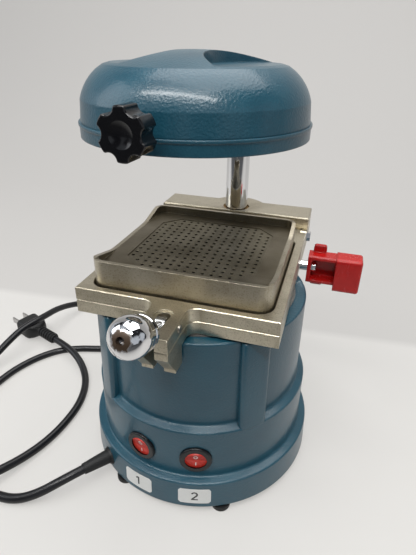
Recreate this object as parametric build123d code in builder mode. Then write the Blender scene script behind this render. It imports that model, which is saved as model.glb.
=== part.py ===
"""Dental vacuum former, in millimetres.

The origin is on the table below the middle of the body. The swing-bolt latch faces -Y, the side handle
points along +X and the column stands behind the body. The clamp frame is shown at the bottom of the column
with its latch open, and the heater head stands over it, swung a few degrees to the left.
"""
import os
from math import asin, cos, degrees, pi, radians, sin, sqrt, tan

from build123d import *

os.makedirs("parts", exist_ok=True)

# ---- Origin: on the table, in the middle of the machine's outline without its cord ----
ORIGIN_X = 12.0              # from the body's axis
ORIGIN_Y = -2.0

# ---- Body of the base ----
FOOT_HEIGHT = 4.0
FOOT_RADIUS = 7.0
FOOT_INSET = 5.4             # from the ring's edge in to a foot's middle
FOOT_ANGLE = 63.0            # of each foot, from the side-to-side axis
FOOT_ROUND = 1.2
COVER_THICK = 1.8
COVER_INSET = 1.9            # from the ring's edge in to the cover's
RING_STEP = 6.3              # of the ring's top edge, out from the lower body
RING_FLARE = 0.9             # and of its bottom edge, out from the top one
RING_HEIGHT = 23.0
RING_LEDGE_RISE = 1.5
LOWER_RADIUS = 83.2
LOWER_HEIGHT = 43.2
PANEL_LEDGE_RISE = 2.5
PANEL_RECESS = 5.6           # of the panels' foot, in from the lower body
PANEL_TAPER = 0.4            # and of their top, in from the foot
PANEL_HEIGHT = 70.3
BODY_WALL = 4.0
PILASTER_ANGLE = 47.5        # of each pilaster's middle, from the side-to-side axis
PILASTER_SPAN = 15.0
PILASTER_TAPER = 1.7
PILASTER_ROUND = 3.5
RING_ROUND = 1.6
LEDGE_ROUND = 1.2
STEP_FILLET = 1.5            # where a ledge meets the wall above it
SPOT_GAP = 0.2               # round a part that sits in a spot-faced seat

RING_TOP_RADIUS = LOWER_RADIUS + RING_STEP
RING_RADIUS = RING_TOP_RADIUS + RING_FLARE
PANEL_RADIUS = LOWER_RADIUS - PANEL_RECESS
PANEL_TOP_RADIUS = PANEL_RADIUS - PANEL_TAPER
PILASTER_TOP_RADIUS = LOWER_RADIUS - PILASTER_TAPER
FOOT_CIRCLE = RING_RADIUS - FOOT_INSET
COVER_Z = FOOT_HEIGHT
RING_Z = COVER_Z + COVER_THICK
RING_TOP = RING_Z + RING_HEIGHT
LEDGE_Z = RING_TOP + LOWER_HEIGHT
BODY_TOP = LEDGE_Z + PANEL_HEIGHT
RING_INSIDE = RING_TOP_RADIUS - BODY_WALL
LOWER_INSIDE = LOWER_RADIUS - BODY_WALL
PANEL_INSIDE = PANEL_TOP_RADIUS - BODY_WALL
CEILING = BODY_TOP - BODY_WALL

COVER_SCREW_RADIUS = 1.5
COVER_SCREW_HEAD = 3.0
COVER_SCREW_HEAD_THICK = 1.3
COVER_SCREW_DEPTH = 10.0
SCREW_GAP = 0.3              # round a sunk head, and below a screw's end
COVER_BOSS_RADIUS = 3.6
VENT_COUNT = 12
VENT_CIRCLE = 56.0
VENT_LENGTH = 22.0
VENT_WIDTH = 4.0

# ---- Column and its boss behind the body ----
COLUMN_BACK = 23.2           # of the column's middle, behind the panels' top edge
COLUMN_Y = PANEL_TOP_RADIUS + COLUMN_BACK
COLUMN_RADIUS = 10.0
COLUMN_BORE = 4.0
COLUMN_STUB_RADIUS = 7.0
COLUMN_NUT_THICK = 10.0
COLUMN_NUT_ACROSS = 24.0
COLUMN_STUB_END = 2.0        # of the stub, beyond its nut
COLUMN_BEVEL = 1.0
BOSS_RADIUS = 18.0
BOSS_FLOOR = 8.0
BOSS_POCKET = 15.0
BOSS_POCKET_DEPTH = 22.0
REST_RING_THICK = 3.5
REST_RING_RADIUS = 17.0
SLIDE_CLEARANCE = 0.03       # radial, of each bush on the column

# ---- Rocker switches ----
SWITCH_ANGLE = 14.3          # of each switch, from the middle of the front
SWITCH_RISE = 18.7           # above the ring's top
SWITCH_SINK = 0.9            # of the flat seat, into the lower body
SWITCH_Z = RING_TOP + SWITCH_RISE
SWITCH_SEAT = LOWER_RADIUS - SWITCH_SINK
BEZEL_RADIUS = 11.5
BEZEL_THICK = 2.6
BARREL_RADIUS = 10.0
BARREL_LENGTH = 16.0
ROCKER_PIVOT_DEPTH = 5.0     # behind the bezel's face
ROCKER_BALL = 9.0
ROCKER_GAP = 0.25
BEZEL_ROUND = 1.0
ROCKER_FACE = 3.6            # crease of the rocker, in front of its pivot
ROCKER_TILT = 8.0
ROCKER_BACK = 3.0
TRUNNION_RADIUS = 1.2
TRUNNION_CLEARANCE = 0.05
TRUNNION_END_GAP = 0.3
TERMINAL_THICK = 0.8
TERMINAL_WIDTH = 4.0
TERMINAL_LENGTH = 8.0

# ---- Cord ----
CORD_RADIUS = 3.5
LEAD_OUT = 14.0              # straight run out of the gland
LEAD_IN = 17.0               # and into the plug
BEND_SHARE = 0.45            # of the shorter run that a bend may use
GLAND_ANGLE = -127.0
GLAND_RISE = 8.2             # above the ring's foot
GLAND_SINK = 1.4             # of its flat seat, into the ring
GLAND_Z = RING_Z + GLAND_RISE
GLAND_SEAT = RING_RADIUS - GLAND_SINK
GLAND_FLANGE_RADIUS = 7.0
GLAND_FLANGE_THICK = 2.5
GLAND_FLANGE_BEVEL = 0.6
GLAND_ROOT_RADIUS = 5.5
GLAND_TIP_RADIUS = 4.2
GLAND_LENGTH = 23.0
GLAND_STUB_RADIUS = 4.5
GLAND_STUB_LENGTH = 8.0
GLAND_NUT_THICK = 3.5
PLUG_ANGLE = 160.0           # heading of the plug on the table
PLUG_Z = 11.0
PLUG_LENGTH = 54.0
PLUG_WIDTH = 29.0
PLUG_THICK = 22.0
PLUG_ROUND = 5.0
PLUG_FACE_ROUND = 1.5
PLUG_SHOULDER = 12.0         # from the boot to the plug's full width
SHOULDER_WIDTH = 18.0
SHOULDER_THICK = 17.6
BOOT_LENGTH = 15.0
BOOT_RADIUS = 5.0
BOOT_END_RADIUS = 5.5
BLADE_SPACING = 12.7
BLADE_LENGTH = 17.0
BLADE_WIDTH = 6.4
BLADE_THICK = 1.6

# ---- Vacuum pan ----
GASKET_THICK = 1.0
PAN_WIDTH = 120.0
PAN_DEPTH = PAN_WIDTH - 2.0
PAN_CORNER = 10.0
PAN_WALL = 3.0
PAN_HEIGHT = 36.5
PAN_FLOOR_DROP = 5.8         # rim to floor
PAN_FLOOR_THICK = 3.5
PAN_BOTTOM_THICK = 3.0
PAN_DIP_INSET = 7.0          # from a side wall's end to the start of its dip
PAN_DIP_RAMP = 24.0          # from there to the dip's flat
PAN_DIP_ROUND = 40.0
PAN_DIP_LEFT = 0.2           # wall left above the floor
SUCTION_RADIUS = 18.0
HOLE_ROWS = 15
HOLE_RADIUS = 1.25
SHORT_ROWS = (11, 13)        # holes in the outermost row and in the next one
SCREEN_INSET = 15.0          # from the pan's side to the plate's
HOLE_MARGIN = 3.0            # from there to the last row's middle
SCREEN_CUT = 12.0            # taken off each corner along the edge
SCREEN_THICK = 2.0
SCREEN_DROP = 0.5
SCREEN_LEDGE = 1.4
PAN_SCREW_INSET = 20.0
PAN_SCREW_RADIUS = 2.0
PAN_SCREW_HEAD = 4.0
PAN_SCREW_HEAD_THICK = 2.4

PAN_DIP_TOP = PAN_DEPTH - 2 * PAN_DIP_INSET
PAN_DIP_FLAT = PAN_DIP_TOP - 2 * PAN_DIP_RAMP
SCREEN_HALF = PAN_WIDTH / 2 - SCREEN_INSET
HOLE_PITCH = 2 * (SCREEN_HALF - HOLE_MARGIN) / (HOLE_ROWS - 1)
PAN_SCREW_PLACE = PAN_WIDTH / 2 - PAN_SCREW_INSET
PAN_Z = BODY_TOP + GASKET_THICK
PAN_RIM = PAN_Z + PAN_HEIGHT
PAN_FLOOR = PAN_RIM - PAN_FLOOR_DROP

# ---- Clamp frame ----
FRAME_GAP = 1.5              # from the body's top up to the lower plate
PAN_GAP = 1.0                # round the pan, in the plates' opening
PLATE_SIDE = 6.5             # metal beside the opening
PLATE_FORE = 5.2             # and in front of it
PLATE_THICK = 9.4
PLATE_BEVEL = 0.5
OPENING_CORNER = 11.0
TONGUE_WIDTH = 23.0
TONGUE_ROOT = 7.0
SLOT_WIDTH = 7.0
SLOT_END_RADIUS = 4.0
SLOT_PAST = 4.0              # of the slot's end, behind the ears
SLOT_DISH_RADIUS = 6.0
SLOT_DISH_DEPTH = 1.0
EAR_WIDTH = 7.5
EAR_DROP = 13.8              # below the lower plate
EAR_GAP = 1.8                # from the body's front to the ears
EAR_LENGTH = 23.6
EAR_FOOT = 11.0              # length of an ear's bottom
EAR_STEP = 0.7               # of an ear, above the tongue's middle
EAR_TOE = 2.2                # height of an ear's front edge
SEAL_WIDTH = 2.0
SEAL_DEPTH = 1.5
SEAL_INSET = 1.5
BLOCK_FORWARD = 12.5         # of the block's front, ahead of the column's middle
BLOCK_DEPTH = 30.0
BLOCK_HEIGHT = 27.5
BLOCK_BULGE = 28.0
BUSH_RADIUS = 12.0
BUSH_LENGTH = 10.0
BUSH_INSET = 2.0
BLOCK_SCREW_RADIUS = 2.5
BLOCK_SCREW_HEAD = 4.25
BLOCK_SCREW_HEAD_LENGTH = 5.0
BLOCK_SCREW_GRIP = 10.0
BLOCK_SCREW_SOCKET = 2.0
BLOCK_SCREW_SOCKET_DEPTH = 3.0
BLOCK_BEVEL = 0.8
BLOCK_END_INSET = 1.0        # of the lower plate's rear corners
BLOCK_SCREW_INSET = 12.5     # of the outer screws, from the block's ends
BLOCK_SCREW_SPACING = 25.0

LOWER_Z = BODY_TOP + FRAME_GAP
UPPER_Z = LOWER_Z + PLATE_THICK
UPPER_TOP = UPPER_Z + PLATE_THICK
BLOCK_TOP = LOWER_Z + BLOCK_HEIGHT
BOSS_TOP = LOWER_Z - REST_RING_THICK
OPENING_SIDE = PAN_WIDTH + 2 * PAN_GAP
PLATE_WIDTH = OPENING_SIDE + 2 * PLATE_SIDE
PLATE_HALF = PLATE_WIDTH / 2
PLATE_FRONT = -OPENING_SIDE / 2 - PLATE_FORE
EAR_BACK = -PANEL_TOP_RADIUS - EAR_GAP
EAR_TOE_Y = EAR_BACK - EAR_FOOT
TONGUE_FRONT = EAR_BACK - EAR_LENGTH
SLOT_END_Y = EAR_BACK + SLOT_PAST
BLOCK_FRONT = COLUMN_Y - BLOCK_FORWARD
BLOCK_SCREW_REACH = PLATE_HALF - BLOCK_SCREW_INSET
BLOCK_SCREW_PLACES = [
    side * reach for side in (-1, 1) for reach in (BLOCK_SCREW_REACH, BLOCK_SCREW_REACH - BLOCK_SCREW_SPACING)
]

# ---- Hinge of the upper plate ----
HINGE_AHEAD = 6.4            # of the pin, ahead of the block
HINGE_PIN_RADIUS = 2.5
HINGE_CLEARANCE = 0.02
HINGE_LUG = 5.5
HINGE_SIDE_GAP = 0.3
HINGE_ROUND_GAP = 0.05
HINGE_NUT_RADIUS = 4.2
HINGE_NUT_THICK = 3.5
HINGE_NUT_CAP = 1.0          # closed end of a nut
HINGE_Y = BLOCK_FRONT - HINGE_AHEAD
HINGE_Z = UPPER_Z + PLATE_THICK / 2

# ---- Swing bolt and ball nut ----
BOLT_PIVOT_PAST = 4.0        # of the pivot, in front of the ears' back
BOLT_LIFT = 25.0             # angle of the open bolt above level
BOLT_RADIUS = 3.0
BOLT_SHORT = 2.5             # of the bolt's end, from the ball's centre
BOLT_EYE_RADIUS = 5.0
BOLT_EYE_THICK = 6.0
BOLT_PIN_RADIUS = 2.5
BOLT_PIN_CLEARANCE = 0.05
BOLT_PIN_PROUD = 0.6         # of the tongue's sides
BOLT_BEVEL = 0.6
NUT_SEAT_GAP = 0.8           # from the ears to the nut when the bolt is clamped
NUT_RADIUS = 11.5
NUT_BACK = 13.8              # from the ball's centre to the seat
NUT_NECK_RADIUS = 10.4
NUT_GROOVE = 9.5
NUT_GROOVE_RADIUS = 9.2
NUT_BEVEL = 1.2
NUT_END_GAP = 1.5            # beyond the bolt's end
NUT_THREAD_CLEARANCE = 0.05
NUT_SOCKET_RADIUS = 2.3
NUT_SOCKET_DEPTH = 5.0
BOLT_PIVOT_Y = EAR_BACK - BOLT_PIVOT_PAST
BOLT_PIVOT_Z = UPPER_Z + PLATE_THICK / 2
NUT_CENTRE = BOLT_PIVOT_Z - LOWER_Z + EAR_DROP + NUT_SEAT_GAP + NUT_BACK
BOLT_LENGTH = NUT_CENTRE - BOLT_SHORT

# ---- Side handle ----
ROD_Y = 43.0
ROD_RADIUS = 4.0
ROD_STUD_RADIUS = 2.5
ROD_STUD_LENGTH = 5.0
ROD_LENGTH = 13.0
GRIP_START = 6.0             # from the plate's side
GRIP_LENGTH = 21.2
GRIP_HEIGHT = 23.0
GRIP_DEPTH = 14.0
GRIP_WALL = 3.0
GRIP_ROUND = 2.0
HOLLOW_ROUND = 2.5
PAD_LENGTH = 19.4
PAD_HEIGHT = 28.0
PAD_DEPTH = 17.0
PAD_ROUND = 3.0
PAD_END_ROUND = 2.2
PAD_SAG = 1.0                # of the pad's middle, below the rod's
ROD_BEVEL = 0.8
TAB_LENGTH = 10.0
TAB_HEIGHT = 34.0
TAB_THICK = 4.0

# ---- Heater head ----
HEAD_REACH = COLUMN_Y        # from the column to the head's middle
HEAD_SWING = -3.5
HEAD_RISE = 110.5            # of the head's rim, above the body
HEAD_Z = BODY_TOP + HEAD_RISE
RIM_RADIUS = 72.2
RIM_BEAD = 0.6
RIM_BEAD_HEIGHT = 2.0
RIM_BEAD_ROUND = 0.48
RIM_HEIGHT = 8.7
RIM_WALL = 3.2
RIM_LIP = 6.0
RIM_LIP_THICK = 1.5
DOME_INSET = 0.7             # of the dome's wall, in from the rim
DOME_TAPER = 1.1
DOME_WALL_HEIGHT = 12.5
DOME_SHOULDER = 15.8         # of the shoulder's top, in from the wall
DOME_SHOULDER_HEIGHT = 31.0
DOME_HEIGHT = 39.1
DOME_THICK = 4.0
DOME_INSIDE_HEIGHT = 28.0
DOME_INSIDE_ROUND = 14.0
DOME_INSIDE_SLOPE = 40.0
DOME_BEND_INSET = 5.5        # of a point that the shoulder's bend passes, in from the wall
DOME_BEND_HEIGHT = 21.7      # and above the rim
SCOOP_INSET = 14.2           # of each scoop's centre, in from the rim's edge
SCOOP_FORWARD = 8.0
SCOOP_RADIUS = 47.0
SCOOP_FLOOR = 32.0           # above the rim
HUB_RADIUS = 19.0
HUB_HEIGHT = 29.0            # above the rim
HUB_BEVEL = 3.0
HUB_BORE_CLEARANCE = 0.4
HUB_END_GAP = 2.0            # above the column's top
COLLAR_RADIUS = 15.0
COLLAR_THICK = 5.3
COLUMN_TOP_COVER = 10.0      # from the column's top up to the hub's
DOME_WALL_RADIUS = RIM_RADIUS - DOME_INSET
DOME_WALL_TOP = DOME_WALL_RADIUS - DOME_TAPER
DOME_SHOULDER_RADIUS = DOME_WALL_RADIUS - DOME_SHOULDER
DOME_INSIDE_RADIUS = DOME_WALL_RADIUS - DOME_THICK
DOME_BEND = (DOME_WALL_RADIUS - DOME_BEND_INSET, DOME_BEND_HEIGHT)
SCOOP_PLACE = RIM_RADIUS - SCOOP_INSET
RIM_TOP = HEAD_Z + RIM_HEIGHT
COLUMN_TOP = RIM_TOP + HUB_HEIGHT - COLUMN_TOP_COVER

# ---- Heating element ----
REFLECTOR_GAP = 1.5          # round the reflector, inside the dome
REFLECTOR_RADIUS = DOME_INSIDE_RADIUS - REFLECTOR_GAP
REFLECTOR_THICK = 1.0
REFLECTOR_LIFT = 6.0         # above the rim's top
REFLECTOR_Z = RIM_TOP + REFLECTOR_LIFT
HEATER_MARGIN = 8.0          # of the reflector, round the heater's plate
HEATER_RADIUS = REFLECTOR_RADIUS - HEATER_MARGIN
HEATER_THICK = 8.0
HEATER_ROUND = 1.5
COIL_RADIUS = 2.0
COIL_MARGIN = 8.0            # of the plate, outside the last turn
COIL_OUTER = HEATER_RADIUS - COIL_MARGIN
COIL_PITCH = 8.0
COIL_TURNS = 4
TERMINAL_SIDE = 5.0
POST_RADIUS = 4.0
POST_INSET = 8.0             # from the last turn in
POST_CIRCLE = COIL_OUTER - POST_INSET

# ---- Star knob ----
KNOB_RISE = 13.4             # above the rim's foot
KNOB_REACH = 21.45           # of its face, out from the rim
KNOB_Z = HEAD_Z + KNOB_RISE
KNOB_FACE = RIM_RADIUS + KNOB_REACH
KNOB_RADIUS = 13.0
KNOB_THICK = 12.5
KNOB_LOBES = 6
KNOB_SCALLOP = 4.2
KNOB_SCALLOP_CIRCLE = 14.6
KNOB_NECK_RADIUS = 4.5
KNOB_ROUND = 1.2
KNOB_DISH = 1.5
KNOB_EDGE = 1.0
KNOB_NECK_SEAT = 1.5         # of the neck's end, inside the wall

# ---- Vacuum motor and fan ----
LUG_LENGTH = 12.0
LUG_RADIUS = 5.0
LUG_INSET = 6.0              # of the lugs, in from the fan cover's edge
SUCTION_SLEEVE_WALL = 4.0
FAN_SIDE_GAP = 7.2           # from the housing's wall to the fan cover
FAN_COVER_THICK = 2.0
FAN_FLANGE = 10.0            # of the cover, round the case
FAN_WALL = 2.0
FAN_HEIGHT = 28.0
IMPELLER_GAP = 6.0           # from the impeller to the case
IMPELLER_DISC = 1.5
IMPELLER_LIFT = 3.7
BLADE_HEIGHT = 14.5
IMPELLER_BLADES = 9
BLADE_LEAN = 34.0            # turn of a blade from its root to its tip
BLADE_WALL = 1.4
BLADE_TIP_INSET = 3.0        # of a blade's end, from the disc's edge
OUTLET_COUNT = 6             # slots in the fan case's floor
OUTLET_LENGTH = 6.0
OUTLET_WIDTH = 5.0
IMPELLER_HUB = 8.0
SHAFT_RADIUS = 4.0
SHAFT_CLEARANCE = 0.02
SHAFT_END_GAP = 1.0
IMPELLER_NUT_ACROSS = 13.0
IMPELLER_NUT_THICK = 4.0
MOTOR_RADIUS = 40.0
MOTOR_WALL = 2.5
MOTOR_HEIGHT = 56.3
MOTOR_PLATE = 3.0
BEARING_RADIUS = 11.0
BEARING_LENGTH = 7.0
BEARING_SEAT_WALL = 3.0
STATOR_BORE = 22.0
STATOR_HEIGHT = 32.0
ROTOR_GAP = 0.5

FAN_COVER_RADIUS = PANEL_INSIDE - FAN_SIDE_GAP
LUG_CIRCLE = FAN_COVER_RADIUS - LUG_INSET
FAN_RADIUS = FAN_COVER_RADIUS - FAN_FLANGE
IMPELLER_RADIUS = FAN_RADIUS - IMPELLER_GAP
FAN_TOP = CEILING - LUG_LENGTH
FAN_COVER_Z = FAN_TOP - FAN_COVER_THICK
FAN_Z = FAN_COVER_Z - FAN_HEIGHT
MOTOR_Z = FAN_Z - MOTOR_HEIGHT
IMPELLER_Z = FAN_Z + IMPELLER_LIFT


def axial(angle, reach, height):
    """Plane square to the body's radius at an angle, with its y axis up."""
    c = cos(radians(angle))
    s = sin(radians(angle))
    return Plane(origin=(reach * c, reach * s, height), x_dir=(-s, c, 0), z_dir=(c, s, 0))


def upright(angle):
    """Plane through the body's axis and along a radius, for profiles to revolve."""
    c = cos(radians(angle))
    s = sin(radians(angle))
    return Plane(origin=(0, 0, 0), x_dir=(c, s, 0), z_dir=(s, -c, 0))


def at_vertex(sketch, x, y):
    """Vertex of a sketch nearest to a point."""
    return sketch.vertices().sort_by_distance((x, y, 0))[0]


def finish(builder, name):
    """Label a piece and write it to its own file, moved from the body's axis to the machine's origin."""
    piece = builder.part.moved(Location((-ORIGIN_X, -ORIGIN_Y, 0)))
    piece.label = name
    export_step(piece, f"parts/{name}.step")


foot_places = [
    (side * FOOT_CIRCLE * cos(radians(FOOT_ANGLE)), end * FOOT_CIRCLE * sin(radians(FOOT_ANGLE)))
    for side in (-1, 1)
    for end in (-1, 1)
]
switch_angles = {"left": -90 - SWITCH_ANGLE, "right": -90 + SWITCH_ANGLE}
pan_screw_places = [(x * PAN_SCREW_PLACE, y * PAN_SCREW_PLACE) for x in (-1, 1) for y in (-1, 1)]

# ============ Base ============

# One pilaster, at azimuth 0: it carries the lower body's radius up over the recessed panels.
with BuildPart() as pilaster:
    with BuildSketch(upright(-PILASTER_SPAN / 2)):
        with BuildLine():
            Polyline(
                (PANEL_INSIDE, LEDGE_Z - PANEL_LEDGE_RISE),
                (LOWER_RADIUS, LEDGE_Z - PANEL_LEDGE_RISE),
                (LOWER_RADIUS, LEDGE_Z),
                (PILASTER_TOP_RADIUS, BODY_TOP),
                (PANEL_INSIDE, BODY_TOP),
                close=True,
            )
        make_face()
    revolve(axis=Axis.Z, revolution_arc=PILASTER_SPAN)
    outer_corners = pilaster.edges().filter_by(
        lambda e: e.length > PANEL_HEIGHT / 2 and e.center().X > PANEL_RADIUS + 1
    )
    fillet(outer_corners.filter_by(GeomType.LINE), PILASTER_ROUND)

with BuildPart() as base_housing:
    with BuildSketch(Plane.XZ) as outline:
        with BuildLine():
            Polyline(
                (0, RING_Z),
                (RING_RADIUS, RING_Z),
                (RING_TOP_RADIUS, RING_TOP),
                (LOWER_RADIUS, RING_TOP + RING_LEDGE_RISE),
                (LOWER_RADIUS, LEDGE_Z),
                (PANEL_RADIUS, LEDGE_Z + PANEL_LEDGE_RISE),
                (PANEL_TOP_RADIUS, BODY_TOP),
                (0, BODY_TOP),
                close=True,
            )
        make_face()
        fillet(at_vertex(outline, RING_TOP_RADIUS, RING_TOP), RING_ROUND)
        fillet(at_vertex(outline, LOWER_RADIUS, LEDGE_Z), LEDGE_ROUND)
        fillet(at_vertex(outline, PANEL_TOP_RADIUS, BODY_TOP), LEDGE_ROUND)
        fillet(at_vertex(outline, LOWER_RADIUS, RING_TOP + RING_LEDGE_RISE), STEP_FILLET)
        fillet(at_vertex(outline, PANEL_RADIUS, LEDGE_Z + PANEL_LEDGE_RISE), STEP_FILLET)
    revolve(axis=Axis.Z)
    for angle in (PILASTER_ANGLE, 180 - PILASTER_ANGLE, 180 + PILASTER_ANGLE, -PILASTER_ANGLE):
        add(pilaster.part, rotation=(0, 0, angle))
    # Boss that carries the column.
    with BuildSketch(Plane.XY.offset(RING_Z)):
        with Locations((0, COLUMN_Y)):
            Circle(BOSS_RADIUS)
        with Locations((0, (COLUMN_Y + PANEL_INSIDE) / 2)):
            Rectangle(2 * BOSS_RADIUS, COLUMN_Y - PANEL_INSIDE)
    extrude(amount=BOSS_TOP - RING_Z)
    # Hollow of the casting.
    with BuildSketch(Plane.XZ):
        with BuildLine():
            Polyline(
                (0, RING_Z),
                (RING_INSIDE, RING_Z),
                (RING_INSIDE, RING_TOP - BODY_WALL),
                (LOWER_INSIDE, RING_TOP - BODY_WALL + RING_LEDGE_RISE),
                (LOWER_INSIDE, LEDGE_Z - BODY_WALL),
                (PANEL_INSIDE, LEDGE_Z - BODY_WALL + PANEL_LEDGE_RISE),
                (PANEL_INSIDE, CEILING),
                (0, CEILING),
                close=True,
            )
        make_face()
    revolve(axis=Axis.Z, mode=Mode.SUBTRACT)
    # Screw bosses in the ring, and lugs that the fan hangs from.
    with BuildSketch(Plane.XY.offset(RING_Z)):
        with Locations(*foot_places):
            Circle(COVER_BOSS_RADIUS)
    extrude(amount=COVER_SCREW_DEPTH + 2)
    with BuildSketch(Plane.XY.offset(FAN_TOP)):
        with PolarLocations(LUG_CIRCLE, 3, start_angle=90):
            Circle(LUG_RADIUS)
    extrude(amount=LUG_LENGTH)
    with BuildSketch(Plane.XY.offset(RING_Z)):
        with Locations(*foot_places):
            Circle(COVER_SCREW_RADIUS)
    extrude(amount=COVER_SCREW_DEPTH, mode=Mode.SUBTRACT)
    # Bore, floor and nut pocket of the column boss.
    with BuildSketch(Plane.XY.offset(RING_Z)):
        with Locations((0, COLUMN_Y)):
            Circle(BOSS_POCKET)
    extrude(amount=BOSS_POCKET_DEPTH, mode=Mode.SUBTRACT)
    with BuildSketch(Plane.XY.offset(RING_Z)):
        with Locations((0, COLUMN_Y)):
            Circle(COLUMN_STUB_RADIUS)
    extrude(amount=BOSS_POCKET_DEPTH + BOSS_FLOOR, mode=Mode.SUBTRACT)
    with BuildSketch(Plane.XY.offset(RING_Z + BOSS_POCKET_DEPTH + BOSS_FLOOR)):
        with Locations((0, COLUMN_Y)):
            Circle(COLUMN_RADIUS)
    extrude(amount=BOSS_TOP, mode=Mode.SUBTRACT)
    # Suction hole and the pan's screw holes.
    with BuildSketch(Plane.XY.offset(BODY_TOP)):
        Circle(SUCTION_RADIUS)
        with Locations(*pan_screw_places):
            Circle(PAN_SCREW_RADIUS)
    extrude(amount=-BODY_WALL, mode=Mode.SUBTRACT)
    # Spot-faced seat and hole of each switch.
    for angle in switch_angles.values():
        with BuildSketch(axial(angle, SWITCH_SEAT, SWITCH_Z)):
            Circle(BEZEL_RADIUS + SPOT_GAP)
        extrude(amount=LOWER_RADIUS, mode=Mode.SUBTRACT)
        with BuildSketch(axial(angle, SWITCH_SEAT, SWITCH_Z)):
            Circle(BARREL_RADIUS)
        extrude(amount=-2 * BODY_WALL, mode=Mode.SUBTRACT)
    # Seat and hole of the cord gland.
    with BuildSketch(axial(GLAND_ANGLE, GLAND_SEAT, GLAND_Z)):
        Circle(GLAND_FLANGE_RADIUS + SPOT_GAP)
    extrude(amount=GLAND_LENGTH, mode=Mode.SUBTRACT)
    with BuildSketch(axial(GLAND_ANGLE, GLAND_SEAT, GLAND_Z)):
        Circle(GLAND_STUB_RADIUS)
    extrude(amount=-2 * BODY_WALL, mode=Mode.SUBTRACT)
finish(base_housing, "base_housing")

with BuildPart() as bottom_cover:
    with BuildSketch(Plane.XY.offset(COVER_Z)):
        Circle(RING_RADIUS - COVER_INSET)
        with Locations((0, COLUMN_Y)):
            Circle(BOSS_RADIUS - COVER_INSET)
        with Locations((0, (COLUMN_Y + PANEL_INSIDE) / 2)):
            Rectangle(2 * (BOSS_RADIUS - COVER_INSET), COLUMN_Y - PANEL_INSIDE)
        with PolarLocations(VENT_CIRCLE, VENT_COUNT):
            SlotOverall(VENT_LENGTH, VENT_WIDTH, mode=Mode.SUBTRACT)
        with Locations(*foot_places):
            Circle(COVER_SCREW_RADIUS, mode=Mode.SUBTRACT)
    extrude(amount=COVER_THICK)
finish(bottom_cover, "bottom_cover")

with BuildPart() as rubber_feet:
    with BuildSketch(Plane.XY):
        with Locations(*foot_places):
            Circle(FOOT_RADIUS)
    extrude(amount=FOOT_HEIGHT)
    fillet(rubber_feet.faces().sort_by(Axis.Z)[:4].edges(), FOOT_ROUND)
    with BuildSketch(Plane.XY):
        with Locations(*foot_places):
            Circle(COVER_SCREW_HEAD + SCREW_GAP)
    extrude(amount=FOOT_HEIGHT / 2, mode=Mode.SUBTRACT)
    with BuildSketch(Plane.XY):
        with Locations(*foot_places):
            Circle(COVER_SCREW_RADIUS)
    extrude(amount=FOOT_HEIGHT, mode=Mode.SUBTRACT)
finish(rubber_feet, "rubber_feet")

with BuildPart() as cover_screws:
    with BuildSketch(Plane.XY.offset(FOOT_HEIGHT / 2)):
        with Locations(*foot_places):
            Circle(COVER_SCREW_HEAD)
    extrude(amount=-COVER_SCREW_HEAD_THICK)
    with BuildSketch(Plane.XY.offset(FOOT_HEIGHT / 2)):
        with Locations(*foot_places):
            Circle(COVER_SCREW_RADIUS)
    extrude(amount=RING_Z - FOOT_HEIGHT / 2 + COVER_SCREW_DEPTH - SCREW_GAP)
finish(cover_screws, "cover_screws")

# ---- Switches: each bezel has a ball-shaped seat that its rocker tilts in ----
for side, angle in switch_angles.items():
    face = axial(angle, SWITCH_SEAT + BEZEL_THICK, SWITCH_Z)
    pivot = axial(angle, SWITCH_SEAT + BEZEL_THICK - ROCKER_PIVOT_DEPTH, SWITCH_Z)
    across = Axis(pivot.origin, pivot.x_dir)
    profile_plane = Plane(origin=pivot.origin, x_dir=pivot.y_dir, z_dir=pivot.x_dir)

    with BuildPart() as switch_bezel:
        with BuildSketch(axial(angle, SWITCH_SEAT, SWITCH_Z)):
            Circle(BEZEL_RADIUS)
        extrude(amount=BEZEL_THICK)
        fillet(switch_bezel.faces().sort_by(Axis(face.origin, face.z_dir))[-1].edges(), BEZEL_ROUND)
        with BuildSketch(axial(angle, SWITCH_SEAT, SWITCH_Z)):
            Circle(BARREL_RADIUS)
        extrude(amount=-BARREL_LENGTH)
        with Locations(pivot):
            Sphere(ROCKER_BALL + ROCKER_GAP, mode=Mode.SUBTRACT)
        with BuildSketch(profile_plane):
            Circle(TRUNNION_RADIUS + TRUNNION_CLEARANCE)
        extrude(amount=BARREL_RADIUS, both=True, mode=Mode.SUBTRACT)
    finish(switch_bezel, f"switch_bezel_{side}")

    with BuildPart() as rocker:
        with BuildSketch(profile_plane):
            Circle(ROCKER_BALL)
            rise = 2 * ROCKER_BALL * tan(radians(ROCKER_TILT))
            crease = (0, ROCKER_FACE)
            with BuildLine():
                Polyline(
                    crease,
                    (2 * ROCKER_BALL, ROCKER_FACE + rise),
                    (2 * ROCKER_BALL, 3 * ROCKER_BALL),
                    (-2 * ROCKER_BALL, 3 * ROCKER_BALL),
                    (-2 * ROCKER_BALL, ROCKER_FACE + rise),
                    close=True,
                )
            make_face(mode=Mode.SUBTRACT)
            with Locations((0, -ROCKER_BACK - ROCKER_BALL)):
                Rectangle(4 * ROCKER_BALL, 2 * ROCKER_BALL, mode=Mode.SUBTRACT)
        extrude(amount=ROCKER_BALL, both=True)
        with Locations(pivot):
            Sphere(ROCKER_BALL, mode=Mode.INTERSECT)
        with BuildSketch(profile_plane):
            Circle(TRUNNION_RADIUS)
        extrude(amount=BARREL_RADIUS - TRUNNION_END_GAP, both=True)
    rocker.part = rocker.part.rotate(across, ROCKER_TILT)
    finish(rocker, f"rocker_{side}")

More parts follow.
